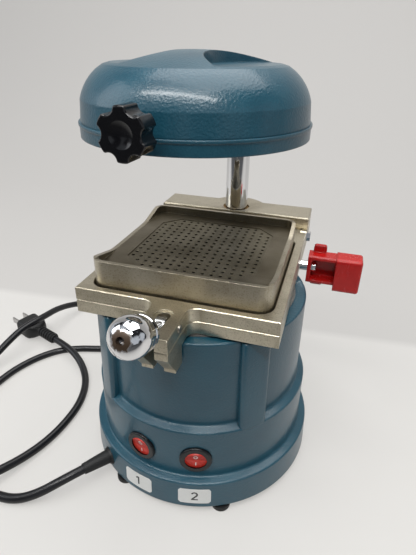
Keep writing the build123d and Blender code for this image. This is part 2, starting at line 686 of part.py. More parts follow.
with BuildPart() as switch_terminals:
    for angle in switch_angles.values():
        with BuildSketch(axial(angle, SWITCH_SEAT - BARREL_LENGTH, SWITCH_Z)):
            with GridLocations(BARREL_RADIUS, TERMINAL_WIDTH + 1, 2, 2):
                Rectangle(TERMINAL_THICK, TERMINAL_WIDTH)
        extrude(amount=-TERMINAL_LENGTH)
finish(switch_terminals, "switch_terminals")

# ---- Column ----
STUB_BOTTOM = RING_Z + BOSS_POCKET_DEPTH - COLUMN_NUT_THICK - COLUMN_STUB_END
with BuildPart() as column:
    with BuildSketch(Plane.XY.offset(RING_Z + BOSS_POCKET_DEPTH + BOSS_FLOOR)):
        with Locations((0, COLUMN_Y)):
            Circle(COLUMN_RADIUS)
    extrude(amount=COLUMN_TOP - RING_Z - BOSS_POCKET_DEPTH - BOSS_FLOOR)
    chamfer(column.faces().sort_by(Axis.Z)[-1].edges(), COLUMN_BEVEL)
    with BuildSketch(Plane.XY.offset(STUB_BOTTOM)):
        with Locations((0, COLUMN_Y)):
            Circle(COLUMN_STUB_RADIUS)
    extrude(amount=BOSS_FLOOR + COLUMN_NUT_THICK + COLUMN_STUB_END)
    with BuildSketch(Plane.XY.offset(STUB_BOTTOM)):
        with Locations((0, COLUMN_Y)):
            Circle(COLUMN_BORE)
    extrude(amount=COLUMN_TOP, mode=Mode.SUBTRACT)
finish(column, "column")

with BuildPart() as column_nut:
    with BuildSketch(Plane.XY.offset(RING_Z + BOSS_POCKET_DEPTH)):
        with Locations((0, COLUMN_Y)):
            RegularPolygon(COLUMN_NUT_ACROSS / 2, 6, major_radius=False)
            Circle(COLUMN_STUB_RADIUS, mode=Mode.SUBTRACT)
    extrude(amount=-COLUMN_NUT_THICK)
finish(column_nut, "column_nut")

with BuildPart() as rest_ring:
    with BuildSketch(Plane.XY.offset(BOSS_TOP)):
        with Locations((0, COLUMN_Y)):
            Circle(REST_RING_RADIUS)
            Circle(COLUMN_RADIUS, mode=Mode.SUBTRACT)
    extrude(amount=REST_RING_THICK)
finish(rest_ring, "rest_ring")

with BuildPart() as column_collar:
    with BuildSketch(Plane.XY.offset(HEAD_Z)):
        with Locations((0, COLUMN_Y)):
            Circle(COLLAR_RADIUS)
            Circle(COLUMN_RADIUS, mode=Mode.SUBTRACT)
    extrude(amount=-COLLAR_THICK)
finish(column_collar, "column_collar")

# ---- Cord gland ----
gland_axis = axial(GLAND_ANGLE, GLAND_SEAT, GLAND_Z)
gland_side = Plane(origin=gland_axis.origin, x_dir=gland_axis.z_dir, z_dir=gland_axis.x_dir)
with BuildPart() as cord_gland:
    with BuildSketch(gland_side):
        with BuildLine():
            Polyline(
                (-GLAND_STUB_LENGTH, 0),
                (-GLAND_STUB_LENGTH, GLAND_STUB_RADIUS),
                (0, GLAND_STUB_RADIUS),
                (0, GLAND_FLANGE_RADIUS),
                (GLAND_FLANGE_THICK, GLAND_FLANGE_RADIUS - GLAND_FLANGE_BEVEL),
                (GLAND_FLANGE_THICK, GLAND_ROOT_RADIUS),
                (GLAND_LENGTH, GLAND_TIP_RADIUS),
                (GLAND_LENGTH, 0),
                close=True,
            )
        make_face()
    revolve(axis=Axis(gland_axis.origin, gland_axis.z_dir))
finish(cord_gland, "cord_gland")

with BuildPart() as gland_nut:
    inner_wall = sqrt(RING_INSIDE**2 - GLAND_FLANGE_RADIUS**2)
    with BuildSketch(axial(GLAND_ANGLE, inner_wall, GLAND_Z)):
        RegularPolygon(GLAND_FLANGE_RADIUS, 6)
        Circle(GLAND_STUB_RADIUS, mode=Mode.SUBTRACT)
    extrude(amount=-GLAND_NUT_THICK)
finish(gland_nut, "gland_nut")

# ---- Power cord on the table: out of the gland, round to the left, behind the body and back to the plug ----
gland_tip = gland_axis.origin + gland_axis.z_dir * GLAND_LENGTH
lead_out = gland_tip + gland_axis.z_dir * LEAD_OUT
heading = Vector(cos(radians(PLUG_ANGLE)), sin(radians(PLUG_ANGLE)), 0)
plug_tip = Vector(-188.0, 51.0, PLUG_Z)
cord_points = [
    tuple(gland_tip),
    tuple(lead_out),
    (-92.0, -114.5, 7.5),
    (-107.0, -121.5, 4.0),
    (-125.0, -122.5, 3.5),
    (-146.0, -121.0, 3.5),
    (-170.0, -112.0, 3.5),
    (-190.0, -94.0, 3.5),
    (-203.0, -69.0, 3.5),
    (-208.0, -42.0, 3.5),
    (-206.5, -17.0, 3.5),
    (-203.0, 3.0, 3.5),
    (-193.7, 24.5, 3.5),
    (-178.8, 42.9, 3.5),
    (-160.0, 52.7, 3.5),
    (-137.7, 58.9, 3.5),
    (-102.7, 70.6, 3.5),
    (-87.6, 91.8, 3.5),
    (-87.8, 117.8, 3.5),
    (-103.3, 138.6, 3.5),
    (-141.0, 151.0, 3.5),
    (-167.0, 150.0, 3.5),
    (-190.0, 141.0, 5.5),
    (-205.0, 120.5, 13.0),
    (-209.0, 92.0, 23.0),
    (-208.5, 64.0, 28.5),
    (-216.5, 37.5, 28.5),
    (-222.5, 20.0, 21.5),
    (-227.0, 4.0, 14.5),
    (-231.5, -16.0, 8.0),
    (-236.0, -40.0, 4.5),
    (-236.5, -68.0, 3.5),
    (-229.0, -96.0, 3.5),
    (-216.0, -121.0, 3.5),
    (-195.0, -138.0, 4.5),
    (-170.0, -143.0, 8.0),
    (-148.0, -133.0, 12.0),
    (-134.0, -113.0, 10.5),
    (-124.0, -90.0, 5.5),
    (-117.0, -67.6, 3.5),
    (-113.4, -43.0, 3.5),
    (-114.5, -17.9, 3.5),
    (-123.5, 7.0, 3.5),
    (-137.5, 24.6, 6.5),
    (-154.5, 36.5, 10.5),
    tuple(plug_tip - heading * LEAD_IN),
    tuple(plug_tip),
]
knots = [Vector(*point) for point in cord_points]
runs = [(b - a).length for a, b in zip(knots, knots[1:])]
turns = [(b - a).get_angle(c - b) for a, b, c in zip(knots, knots[1:], knots[2:])]
bends = [BEND_SHARE * min(pair) / tan(radians(turn / 2)) for pair, turn in zip(zip(runs, runs[1:]), turns)]
print("cord: runs", [round(run) for run in runs])
print("cord: turns", [round(turn) for turn in turns])
print("cord: radii", [round(bend) for bend in bends])
with BuildPart() as power_cord:
    with BuildLine() as cord_route:
        FilletPolyline(*cord_points, radius=bends)
    with BuildSketch(Plane(origin=gland_tip, z_dir=gland_axis.z_dir)):
        Circle(CORD_RADIUS)
    sweep()
cord_length = sum(edge.length for edge in cord_route.edges())
print("cord: length", round(cord_length), "smallest radius", round(min(bends), 1))
print("cord: volume", round(power_cord.part.volume), "section x length", round(pi * CORD_RADIUS**2 * cord_length))
finish(power_cord, "power_cord")

# ---- Plug: x runs from the boot's tip to the face with the blades ----
plug_end = Plane(origin=plug_tip, x_dir=(heading.Y, -heading.X, 0), z_dir=heading)
with BuildPart() as plug_body:
    with BuildSketch(plug_end):
        Circle(BOOT_RADIUS)
    with BuildSketch(plug_end.offset(BOOT_LENGTH)):
        Circle(BOOT_END_RADIUS)
    loft()
    with BuildSketch(plug_end.offset(BOOT_LENGTH)):
        RectangleRounded(SHOULDER_WIDTH, SHOULDER_THICK, PLUG_ROUND - 1)
    with BuildSketch(plug_end.offset(BOOT_LENGTH + PLUG_SHOULDER)):
        RectangleRounded(PLUG_WIDTH, PLUG_THICK, PLUG_ROUND)
    loft()
    with BuildSketch(plug_end.offset(BOOT_LENGTH + PLUG_SHOULDER)):
        RectangleRounded(PLUG_WIDTH, PLUG_THICK, PLUG_ROUND)
    extrude(amount=PLUG_LENGTH - BOOT_LENGTH - PLUG_SHOULDER)
    fillet(plug_body.faces().sort_by(Axis(plug_tip, heading))[-1].edges(), PLUG_FACE_ROUND)
finish(plug_body, "plug_body")

with BuildPart() as plug_blades:
    with BuildSketch(plug_end.offset(PLUG_LENGTH)):
        with GridLocations(BLADE_SPACING, 0, 2, 1):
            Rectangle(BLADE_THICK, BLADE_WIDTH)
    extrude(amount=BLADE_LENGTH)
finish(plug_blades, "plug_blades")

# ============ Vacuum motor and fan, inside the body ============

with BuildPart() as suction_sleeve:
    with BuildSketch(Plane.XY.offset(FAN_TOP)):
        Circle(SUCTION_RADIUS + SUCTION_SLEEVE_WALL)
        Circle(SUCTION_RADIUS, mode=Mode.SUBTRACT)
    extrude(amount=LUG_LENGTH)
finish(suction_sleeve, "suction_sleeve")

with BuildPart() as fan_cover:
    with BuildSketch(Plane.XY.offset(FAN_COVER_Z)):
        Circle(FAN_COVER_RADIUS)
        Circle(SUCTION_RADIUS, mode=Mode.SUBTRACT)
    extrude(amount=FAN_COVER_THICK)
finish(fan_cover, "fan_cover")

with BuildPart() as fan_case:
    with BuildSketch(Plane.XY.offset(FAN_Z)):
        Circle(FAN_RADIUS)
    extrude(amount=FAN_HEIGHT)
    with BuildSketch(Plane.XY.offset(FAN_Z + FAN_WALL)):
        Circle(FAN_RADIUS - FAN_WALL)
    extrude(amount=FAN_HEIGHT, mode=Mode.SUBTRACT)
    with BuildSketch(Plane.XY.offset(FAN_Z)):
        Circle(IMPELLER_HUB + FAN_WALL)
        with PolarLocations(FAN_RADIUS - OUTLET_LENGTH, OUTLET_COUNT):
            SlotOverall(OUTLET_LENGTH, OUTLET_WIDTH, rotation=90)
    extrude(amount=FAN_WALL, mode=Mode.SUBTRACT)
finish(fan_case, "fan_case")

with BuildPart() as impeller:
    with BuildSketch(Plane.XY.offset(IMPELLER_Z)):
        Circle(IMPELLER_RADIUS)
    extrude(amount=IMPELLER_DISC)
    with BuildSketch(Plane.XY.offset(IMPELLER_Z + IMPELLER_DISC)) as blades:
        Circle(IMPELLER_HUB)
        with BuildLine() as blade_line:
            blade_tip = IMPELLER_RADIUS - BLADE_TIP_INSET
            RadiusArc(
                (IMPELLER_HUB - 1, 0),
                (blade_tip * cos(radians(BLADE_LEAN)), blade_tip * sin(radians(BLADE_LEAN))),
                IMPELLER_RADIUS,
            )
        blade_shape = trace(blade_line.edges(), line_width=BLADE_WALL, mode=Mode.PRIVATE)
        with PolarLocations(0, IMPELLER_BLADES):
            add(blade_shape)
    extrude(amount=BLADE_HEIGHT)
    with BuildSketch(Plane.XY.offset(IMPELLER_Z)):
        Circle(SHAFT_RADIUS)
    extrude(amount=FAN_HEIGHT, mode=Mode.SUBTRACT)
finish(impeller, "impeller")

SHAFT_BOTTOM = MOTOR_Z + MOTOR_PLATE + SHAFT_END_GAP
IMPELLER_NUT_Z = IMPELLER_Z + IMPELLER_DISC + BLADE_HEIGHT
with BuildPart() as motor_shaft:
    with BuildSketch(Plane.XY.offset(SHAFT_BOTTOM)):
        Circle(SHAFT_RADIUS)
    extrude(amount=IMPELLER_NUT_Z + IMPELLER_NUT_THICK - SHAFT_BOTTOM)
finish(motor_shaft, "motor_shaft")

with BuildPart() as impeller_nut:
    with BuildSketch(Plane.XY.offset(IMPELLER_NUT_Z)):
        RegularPolygon(IMPELLER_NUT_ACROSS / 2, 6, major_radius=False)
        Circle(SHAFT_RADIUS, mode=Mode.SUBTRACT)
    extrude(amount=IMPELLER_NUT_THICK)
finish(impeller_nut, "impeller_nut")

with BuildPart() as motor_can:
    with BuildSketch(Plane.XY.offset(MOTOR_Z)):
        Circle(MOTOR_RADIUS)
    extrude(amount=MOTOR_HEIGHT - MOTOR_PLATE)
    with BuildSketch(Plane.XY.offset(MOTOR_Z + MOTOR_PLATE)):
        Circle(MOTOR_RADIUS - MOTOR_WALL)
    extrude(amount=MOTOR_HEIGHT, mode=Mode.SUBTRACT)
    with BuildSketch(Plane.XY.offset(MOTOR_Z + MOTOR_PLATE)):
        Circle(BEARING_RADIUS + BEARING_SEAT_WALL)
        Circle(BEARING_RADIUS, mode=Mode.SUBTRACT)
    extrude(amount=BEARING_LENGTH)
finish(motor_can, "motor_can")

with BuildPart() as motor_end_plate:
    with BuildSketch(Plane.XY.offset(FAN_Z - MOTOR_PLATE)):
        Circle(MOTOR_RADIUS)
        Circle(IMPELLER_HUB, mode=Mode.SUBTRACT)
    extrude(amount=MOTOR_PLATE)
    with BuildSketch(Plane.XY.offset(FAN_Z - MOTOR_PLATE)):
        Circle(BEARING_RADIUS + BEARING_SEAT_WALL)
        Circle(BEARING_RADIUS, mode=Mode.SUBTRACT)
    extrude(amount=-BEARING_LENGTH)
finish(motor_end_plate, "motor_end_plate")

with BuildPart() as motor_bearings:
    for seat in (MOTOR_Z + MOTOR_PLATE, FAN_Z - MOTOR_PLATE - BEARING_LENGTH):
        with BuildSketch(Plane.XY.offset(seat)):
            Circle(BEARING_RADIUS)
            Circle(SHAFT_RADIUS + SHAFT_CLEARANCE, mode=Mode.SUBTRACT)
        extrude(amount=BEARING_LENGTH)
finish(motor_bearings, "motor_bearings")

STATOR_Z = (MOTOR_Z + FAN_Z - STATOR_HEIGHT) / 2
with BuildPart() as motor_stator:
    with BuildSketch(Plane.XY.offset(STATOR_Z)):
        Circle(MOTOR_RADIUS - MOTOR_WALL)
        Circle(STATOR_BORE, mode=Mode.SUBTRACT)
    extrude(amount=STATOR_HEIGHT)
finish(motor_stator, "motor_stator")

with BuildPart() as motor_rotor:
    with BuildSketch(Plane.XY.offset(STATOR_Z)):
        Circle(STATOR_BORE - ROTOR_GAP)
        Circle(SHAFT_RADIUS, mode=Mode.SUBTRACT)
    extrude(amount=STATOR_HEIGHT)
finish(motor_rotor, "motor_rotor")

# ============ Vacuum pan ============


def screen_corners(inset=0.0):
    """Corners of the square with cut corners that the perforated plate is."""
    half = SCREEN_HALF - inset
    cut = SCREEN_CUT - inset * (2 - sqrt(2))
    quarter = [(half, half - cut), (half - cut, half)]
    upper = quarter + [(-x, y) for x, y in reversed(quarter)]
    return upper + [(x, -y) for x, y in reversed(upper)]


with BuildPart() as pan_gasket:
    with BuildSketch(Plane.XY.offset(BODY_TOP)):
        Circle(PANEL_TOP_RADIUS - 2 * BODY_WALL)
        Circle(SUCTION_RADIUS, mode=Mode.SUBTRACT)
        with Locations(*pan_screw_places):
            Circle(PAN_SCREW_RADIUS, mode=Mode.SUBTRACT)
    extrude(amount=GASKET_THICK)
finish(pan_gasket, "pan_gasket")

SCREEN_Z = PAN_FLOOR - SCREEN_DROP - SCREEN_THICK
with BuildPart() as vacuum_pan:
    with BuildSketch(Plane.XY.offset(PAN_Z)):
        RectangleRounded(PAN_WIDTH, PAN_DEPTH, PAN_CORNER)
    extrude(amount=PAN_HEIGHT)
    # The bowl above the floor, and the suction chamber below it.
    with BuildSketch(Plane.XY.offset(PAN_FLOOR)):
        RectangleRounded(PAN_WIDTH - 2 * PAN_WALL, PAN_DEPTH - 2 * PAN_WALL, PAN_CORNER - PAN_WALL)
    extrude(amount=PAN_FLOOR_DROP, mode=Mode.SUBTRACT)
    with BuildSketch(Plane.XY.offset(PAN_Z + PAN_BOTTOM_THICK)):
        RectangleRounded(PAN_WIDTH - 2 * PAN_WALL, PAN_DEPTH - 2 * PAN_WALL, PAN_CORNER - PAN_WALL)
    extrude(amount=PAN_FLOOR - PAN_FLOOR_THICK - PAN_Z - PAN_BOTTOM_THICK, mode=Mode.SUBTRACT)
    # Side walls dip to the floor.
    with BuildSketch(Plane.YZ) as dip:
        with BuildLine():
            Polyline(
                (-PAN_DIP_TOP / 2, PAN_RIM + 1),
                (-PAN_DIP_TOP / 2, PAN_RIM),
                (-PAN_DIP_FLAT / 2, PAN_FLOOR + PAN_DIP_LEFT),
                (PAN_DIP_FLAT / 2, PAN_FLOOR + PAN_DIP_LEFT),
                (PAN_DIP_TOP / 2, PAN_RIM),
                (PAN_DIP_TOP / 2, PAN_RIM + 1),
                close=True,
            )
        make_face()
        for end in (-1, 1):
            fillet(at_vertex(dip, end * PAN_DIP_FLAT / 2, PAN_FLOOR), PAN_DIP_ROUND)
    extrude(amount=PAN_WIDTH, both=True, mode=Mode.SUBTRACT)
    # Opening with the ledge that the perforated plate lies on.
    with BuildSketch(Plane.XY.offset(SCREEN_Z)):
        Polygon(*screen_corners(), align=None)
    extrude(amount=PAN_RIM - SCREEN_Z, mode=Mode.SUBTRACT)
    with BuildSketch(Plane.XY.offset(SCREEN_Z)):
        Polygon(*screen_corners(SCREEN_LEDGE), align=None)
    extrude(amount=-PAN_FLOOR_THICK, mode=Mode.SUBTRACT)
    with BuildSketch(Plane.XY.offset(PAN_Z)):
        Circle(SUCTION_RADIUS)
        with Locations(*pan_screw_places):
            Circle(PAN_SCREW_RADIUS)
    extrude(amount=PAN_BOTTOM_THICK, mode=Mode.SUBTRACT)
finish(vacuum_pan, "vacuum_pan")

middle_row = (HOLE_ROWS - 1) // 2
row_counts = {middle_row: SHORT_ROWS[0], middle_row - 1: SHORT_ROWS[1]}
hole_places = [
    (column_place * HOLE_PITCH, row * HOLE_PITCH)
    for row in range(-middle_row, middle_row + 1)
    for column_place in range(-middle_row, middle_row + 1)
    if abs(column_place) <= (row_counts.get(abs(row), HOLE_ROWS) - 1) // 2
    and abs(row) <= (row_counts.get(abs(column_place), HOLE_ROWS) - 1) // 2
]
print("holes in the plate:", len(hole_places))
with BuildPart() as perforated_plate:
    with BuildSketch(Plane.XY.offset(SCREEN_Z)):
        Polygon(*screen_corners(), align=None)
        with Locations(*hole_places):
            Circle(HOLE_RADIUS, mode=Mode.SUBTRACT)
    extrude(amount=SCREEN_THICK)
finish(perforated_plate, "perforated_plate")

with BuildPart() as pan_screws:
    with BuildSketch(Plane.XY.offset(PAN_Z + PAN_BOTTOM_THICK)):
        with Locations(*pan_screw_places):
            Circle(PAN_SCREW_HEAD)
    extrude(amount=PAN_SCREW_HEAD_THICK)
    with BuildSketch(Plane.XY.offset(PAN_Z + PAN_BOTTOM_THICK)):
        with Locations(*pan_screw_places):
            Circle(PAN_SCREW_RADIUS)
    extrude(amount=-PAN_BOTTOM_THICK - GASKET_THICK - BODY_WALL)
finish(pan_screws, "pan_screws")

# ============ Carriage ============


def clamp_corners(rear, rear_half, notch):
    """Corners of a plate with a tongue in front and a notch at each rear corner."""
    right = [
        (TONGUE_WIDTH / 2, TONGUE_FRONT),
        (TONGUE_WIDTH / 2, PLATE_FRONT),
        (PLATE_HALF, PLATE_FRONT),
        (PLATE_HALF, rear - notch),
        (rear_half, rear - notch),
        (rear_half, rear),
    ]
    return right + [(-x, y) for x, y in reversed(right)]


def slot_and_opening():
    """Cut the square opening and the open-ended slot out of the sketch in hand."""
    RectangleRounded(OPENING_SIDE, OPENING_SIDE, OPENING_CORNER, mode=Mode.SUBTRACT)
    with Locations((0, SLOT_END_Y - SLOT_END_RADIUS)):
        Circle(SLOT_END_RADIUS, mode=Mode.SUBTRACT)
    with Locations((0, (TONGUE_FRONT - 1 + SLOT_END_Y - SLOT_END_RADIUS) / 2)):
        Rectangle(SLOT_WIDTH, SLOT_END_Y - SLOT_END_RADIUS - TONGUE_FRONT + 1, mode=Mode.SUBTRACT)


with BuildPart() as lower_frame:
    with BuildSketch(Plane.XY.offset(LOWER_Z)) as lower_outline:
        Polygon(*clamp_corners(BLOCK_FRONT, PLATE_HALF - BLOCK_END_INSET, BLOCK_END_INSET), align=None)
        for side in (-1, 1):
            fillet(at_vertex(lower_outline, side * TONGUE_WIDTH / 2, PLATE_FRONT), TONGUE_ROOT)
        slot_and_opening()
    extrude(amount=PLATE_THICK)
    chamfer(lower_frame.faces().filter_by(Plane.XY).edges(), PLATE_BEVEL)
    # Lugs that hold the hinge pin.
    with BuildSketch(Plane.YZ.offset(PLATE_HALF)) as lug:
        with Locations((HINGE_Y, HINGE_Z)):
            Circle(PLATE_THICK / 2)
        with Locations((HINGE_Y, HINGE_Z - PLATE_THICK / 2)):
            Rectangle(PLATE_THICK, PLATE_THICK)
    extrude(amount=-HINGE_LUG)
    mirror(about=Plane.YZ)
    # Ears that the ball nut pulls against: they hang below the prongs of the tongue.
    ear_bottom = LOWER_Z - EAR_DROP
    with BuildSketch(Plane.YZ.offset(SLOT_WIDTH / 2)) as ear:
        with BuildLine():
            Polyline(
                (TONGUE_FRONT, LOWER_Z + PLATE_THICK / 2),
                (TONGUE_FRONT, LOWER_Z + PLATE_THICK / 2 + EAR_STEP),
                (EAR_BACK, LOWER_Z + PLATE_THICK / 2 + EAR_STEP),
                (EAR_BACK, ear_bottom),
                (EAR_TOE_Y, ear_bottom),
                (EAR_TOE_Y, ear_bottom + EAR_TOE),
                close=True,
            )
        make_face()
    extrude(amount=EAR_WIDTH)
    mirror(about=Plane.YZ)
    # The tongue's front is cut back along the ears' slope.
    with BuildSketch(Plane.YZ):
        with BuildLine():
            Polyline(
                (TONGUE_FRONT, LOWER_Z + PLATE_THICK / 2),
                (EAR_TOE_Y, ear_bottom + EAR_TOE),
                (TONGUE_FRONT, ear_bottom),
                close=True,
            )
        make_face()
    extrude(amount=TONGUE_WIDTH, both=True, mode=Mode.SUBTRACT)
    # Groove of the seal.
    with BuildSketch(Plane.XY.offset(UPPER_Z)):
        seal_outer = OPENING_SIDE + 2 * (SEAL_INSET + SEAL_WIDTH)
        RectangleRounded(seal_outer, seal_outer, OPENING_CORNER + SEAL_INSET + SEAL_WIDTH)
        seal_inner = OPENING_SIDE + 2 * SEAL_INSET
        RectangleRounded(seal_inner, seal_inner, OPENING_CORNER + SEAL_INSET, mode=Mode.SUBTRACT)
    extrude(amount=-SEAL_DEPTH, mode=Mode.SUBTRACT)
    # Holes for the hinge pin, the handle's stud and the screws from the block.
    with BuildSketch(Plane.YZ):
        with Locations((HINGE_Y, HINGE_Z)):
            Circle(HINGE_PIN_RADIUS)
    extrude(amount=PLATE_WIDTH, both=True, mode=Mode.SUBTRACT)
    with BuildSketch(Plane.YZ.offset(PLATE_HALF)):
        with Locations((ROD_Y, LOWER_Z + PLATE_THICK / 2)):
            Circle(ROD_STUD_RADIUS)
    extrude(amount=-ROD_STUD_LENGTH, mode=Mode.SUBTRACT)
    with BuildSketch(Plane.XZ.offset(-BLOCK_FRONT)):
        with Locations(*[(x, LOWER_Z + PLATE_THICK / 2) for x in BLOCK_SCREW_PLACES]):
            Circle(BLOCK_SCREW_RADIUS)
    extrude(amount=BLOCK_SCREW_GRIP, mode=Mode.SUBTRACT)
finish(lower_frame, "lower_frame")

with BuildPart() as frame_seal:
    with BuildSketch(Plane.XY.offset(UPPER_Z)):
        RectangleRounded(seal_outer, seal_outer, OPENING_CORNER + SEAL_INSET + SEAL_WIDTH)
        RectangleRounded(seal_inner, seal_inner, OPENING_CORNER + SEAL_INSET, mode=Mode.SUBTRACT)
    extrude(amount=-SEAL_DEPTH)
finish(frame_seal, "frame_seal")

BLOCK_REAR = BLOCK_FRONT + BLOCK_DEPTH
with BuildPart() as carriage_block:
    with BuildSketch(Plane.XY.offset(LOWER_Z)):
        with Locations((0, BLOCK_FRONT + BLOCK_DEPTH / 2)):
            Rectangle(PLATE_WIDTH, BLOCK_DEPTH)
        with Locations((0, COLUMN_Y)):
            Circle(BLOCK_BULGE)
        with Locations((0, BLOCK_FRONT - BLOCK_BULGE)):
            Rectangle(3 * BLOCK_BULGE, 2 * BLOCK_BULGE, mode=Mode.SUBTRACT)
    extrude(amount=BLOCK_HEIGHT)
    chamfer(carriage_block.faces().sort_by(Axis.Z)[-1].edges(), BLOCK_BEVEL)
    with BuildSketch(Plane.XY.offset(LOWER_Z)):
        with Locations((0, COLUMN_Y)):
            Circle(BUSH_RADIUS)
    extrude(amount=BLOCK_HEIGHT, mode=Mode.SUBTRACT)
    with BuildSketch(Plane.XZ.offset(-BLOCK_REAR)):
        with Locations(*[(x, LOWER_Z + PLATE_THICK / 2) for x in BLOCK_SCREW_PLACES]):
            Circle(BLOCK_SCREW_HEAD)
    extrude(amount=BLOCK_SCREW_HEAD_LENGTH, mode=Mode.SUBTRACT)
    with BuildSketch(Plane.XZ.offset(-BLOCK_REAR)):
        with Locations(*[(x, LOWER_Z + PLATE_THICK / 2) for x in BLOCK_SCREW_PLACES]):
            Circle(BLOCK_SCREW_RADIUS)
    extrude(amount=BLOCK_DEPTH, mode=Mode.SUBTRACT)
finish(carriage_block, "carriage_block")

with BuildPart() as carriage_bushes:
    for seat in (LOWER_Z + BUSH_INSET, BLOCK_TOP - BUSH_INSET - BUSH_LENGTH):
        with BuildSketch(Plane.XY.offset(seat)):
            with Locations((0, COLUMN_Y)):
                Circle(BUSH_RADIUS)
                Circle(COLUMN_RADIUS + SLIDE_CLEARANCE, mode=Mode.SUBTRACT)
        extrude(amount=BUSH_LENGTH)
finish(carriage_bushes, "carriage_bushes")

with BuildPart() as block_screws:
    screw_places = [(x, LOWER_Z + PLATE_THICK / 2) for x in BLOCK_SCREW_PLACES]
    with BuildSketch(Plane.XZ.offset(-BLOCK_REAR)):
        with Locations(*screw_places):
            Circle(BLOCK_SCREW_HEAD)
    extrude(amount=BLOCK_SCREW_HEAD_LENGTH)
    with BuildSketch(Plane.XZ.offset(-BLOCK_REAR)):
        with Locations(*screw_places):
            RegularPolygon(BLOCK_SCREW_SOCKET, 6)
    extrude(amount=BLOCK_SCREW_SOCKET_DEPTH, mode=Mode.SUBTRACT)
    with BuildSketch(Plane.XZ.offset(BLOCK_SCREW_HEAD_LENGTH - BLOCK_REAR)):
        with Locations(*screw_places):
            Circle(BLOCK_SCREW_RADIUS)
    extrude(amount=BLOCK_DEPTH - BLOCK_SCREW_HEAD_LENGTH + BLOCK_SCREW_GRIP)
finish(block_screws, "block_screws")

with BuildPart() as hinge_pin:
    with BuildSketch(Plane.YZ):
        with Locations((HINGE_Y, HINGE_Z)):
            Circle(HINGE_PIN_RADIUS)
    extrude(amount=PLATE_HALF + HINGE_NUT_THICK - HINGE_NUT_CAP, both=True)
finish(hinge_pin, "hinge_pin")

with BuildPart() as hinge_nuts:
    with BuildSketch(Plane.YZ.offset(PLATE_HALF)):
        with Locations((HINGE_Y, HINGE_Z)):
            RegularPolygon(HINGE_NUT_RADIUS, 6)
    extrude(amount=HINGE_NUT_THICK)
    with BuildSketch(Plane.YZ.offset(PLATE_HALF)):
        with Locations((HINGE_Y, HINGE_Z)):
            Circle(HINGE_PIN_RADIUS)
    extrude(amount=HINGE_NUT_THICK - HINGE_NUT_CAP, mode=Mode.SUBTRACT)
    mirror(about=Plane.YZ)
finish(hinge_nuts, "hinge_nuts")

# ---- Side handle ----
ROD_Z = LOWER_Z + PLATE_THICK / 2
with BuildPart() as handle_rod:
    with BuildSketch(Plane.YZ.offset(PLATE_HALF)):
        with Locations((ROD_Y, ROD_Z)):
            Circle(ROD_RADIUS)
    extrude(amount=ROD_LENGTH)
    chamfer(handle_rod.faces().sort_by(Axis.X)[-1].edges(), ROD_BEVEL)
    with BuildSketch(Plane.YZ.offset(PLATE_HALF)):
        with Locations((ROD_Y, ROD_Z)):
            Circle(ROD_STUD_RADIUS)
    extrude(amount=-ROD_STUD_LENGTH)
finish(handle_rod, "handle_rod")

GRIP_X = PLATE_HALF + GRIP_START
GRIP_BACK = ROD_Y + GRIP_DEPTH / 2
with BuildPart() as side_handle:
    with BuildSketch(Plane.YZ.offset(GRIP_X)):
        with Locations((ROD_Y, ROD_Z)):
            RectangleRounded(GRIP_DEPTH, GRIP_HEIGHT, GRIP_ROUND)
    extrude(amount=GRIP_LENGTH)
    with BuildSketch(Plane.XZ.offset(-GRIP_BACK)):
        with Locations((GRIP_X + TAB_LENGTH / 2 + GRIP_WALL, ROD_Z)):
            RectangleRounded(TAB_LENGTH, TAB_HEIGHT, GRIP_ROUND)
    extrude(amount=TAB_THICK)
    with BuildSketch(Plane.YZ.offset(GRIP_X + GRIP_LENGTH)):
        with Locations((GRIP_BACK - PAD_DEPTH / 2, ROD_Z - PAD_SAG)):
            RectangleRounded(PAD_DEPTH, PAD_HEIGHT, PAD_ROUND)
    extrude(amount=PAD_LENGTH)
    fillet(side_handle.faces().filter_by(Axis.X).sort_by(Axis.X)[-1].edges(), PAD_END_ROUND)
    # Hollow of the grip, open to the front.
    with BuildSketch(Plane.XZ.offset(PAD_DEPTH - GRIP_BACK)):
        with Locations((GRIP_X + GRIP_LENGTH / 2 + GRIP_WALL / 2, ROD_Z)):
            RectangleRounded(GRIP_LENGTH - GRIP_WALL, GRIP_HEIGHT - 2 * GRIP_WALL, HOLLOW_ROUND)
    extrude(amount=GRIP_WALL - PAD_DEPTH, mode=Mode.SUBTRACT)
    with BuildSketch(Plane.YZ.offset(GRIP_X)):
        with Locations((ROD_Y, ROD_Z)):
            Circle(ROD_RADIUS)
    extrude(amount=GRIP_WALL, mode=Mode.SUBTRACT)
finish(side_handle, "side_handle")

# ============ Upper frame ============

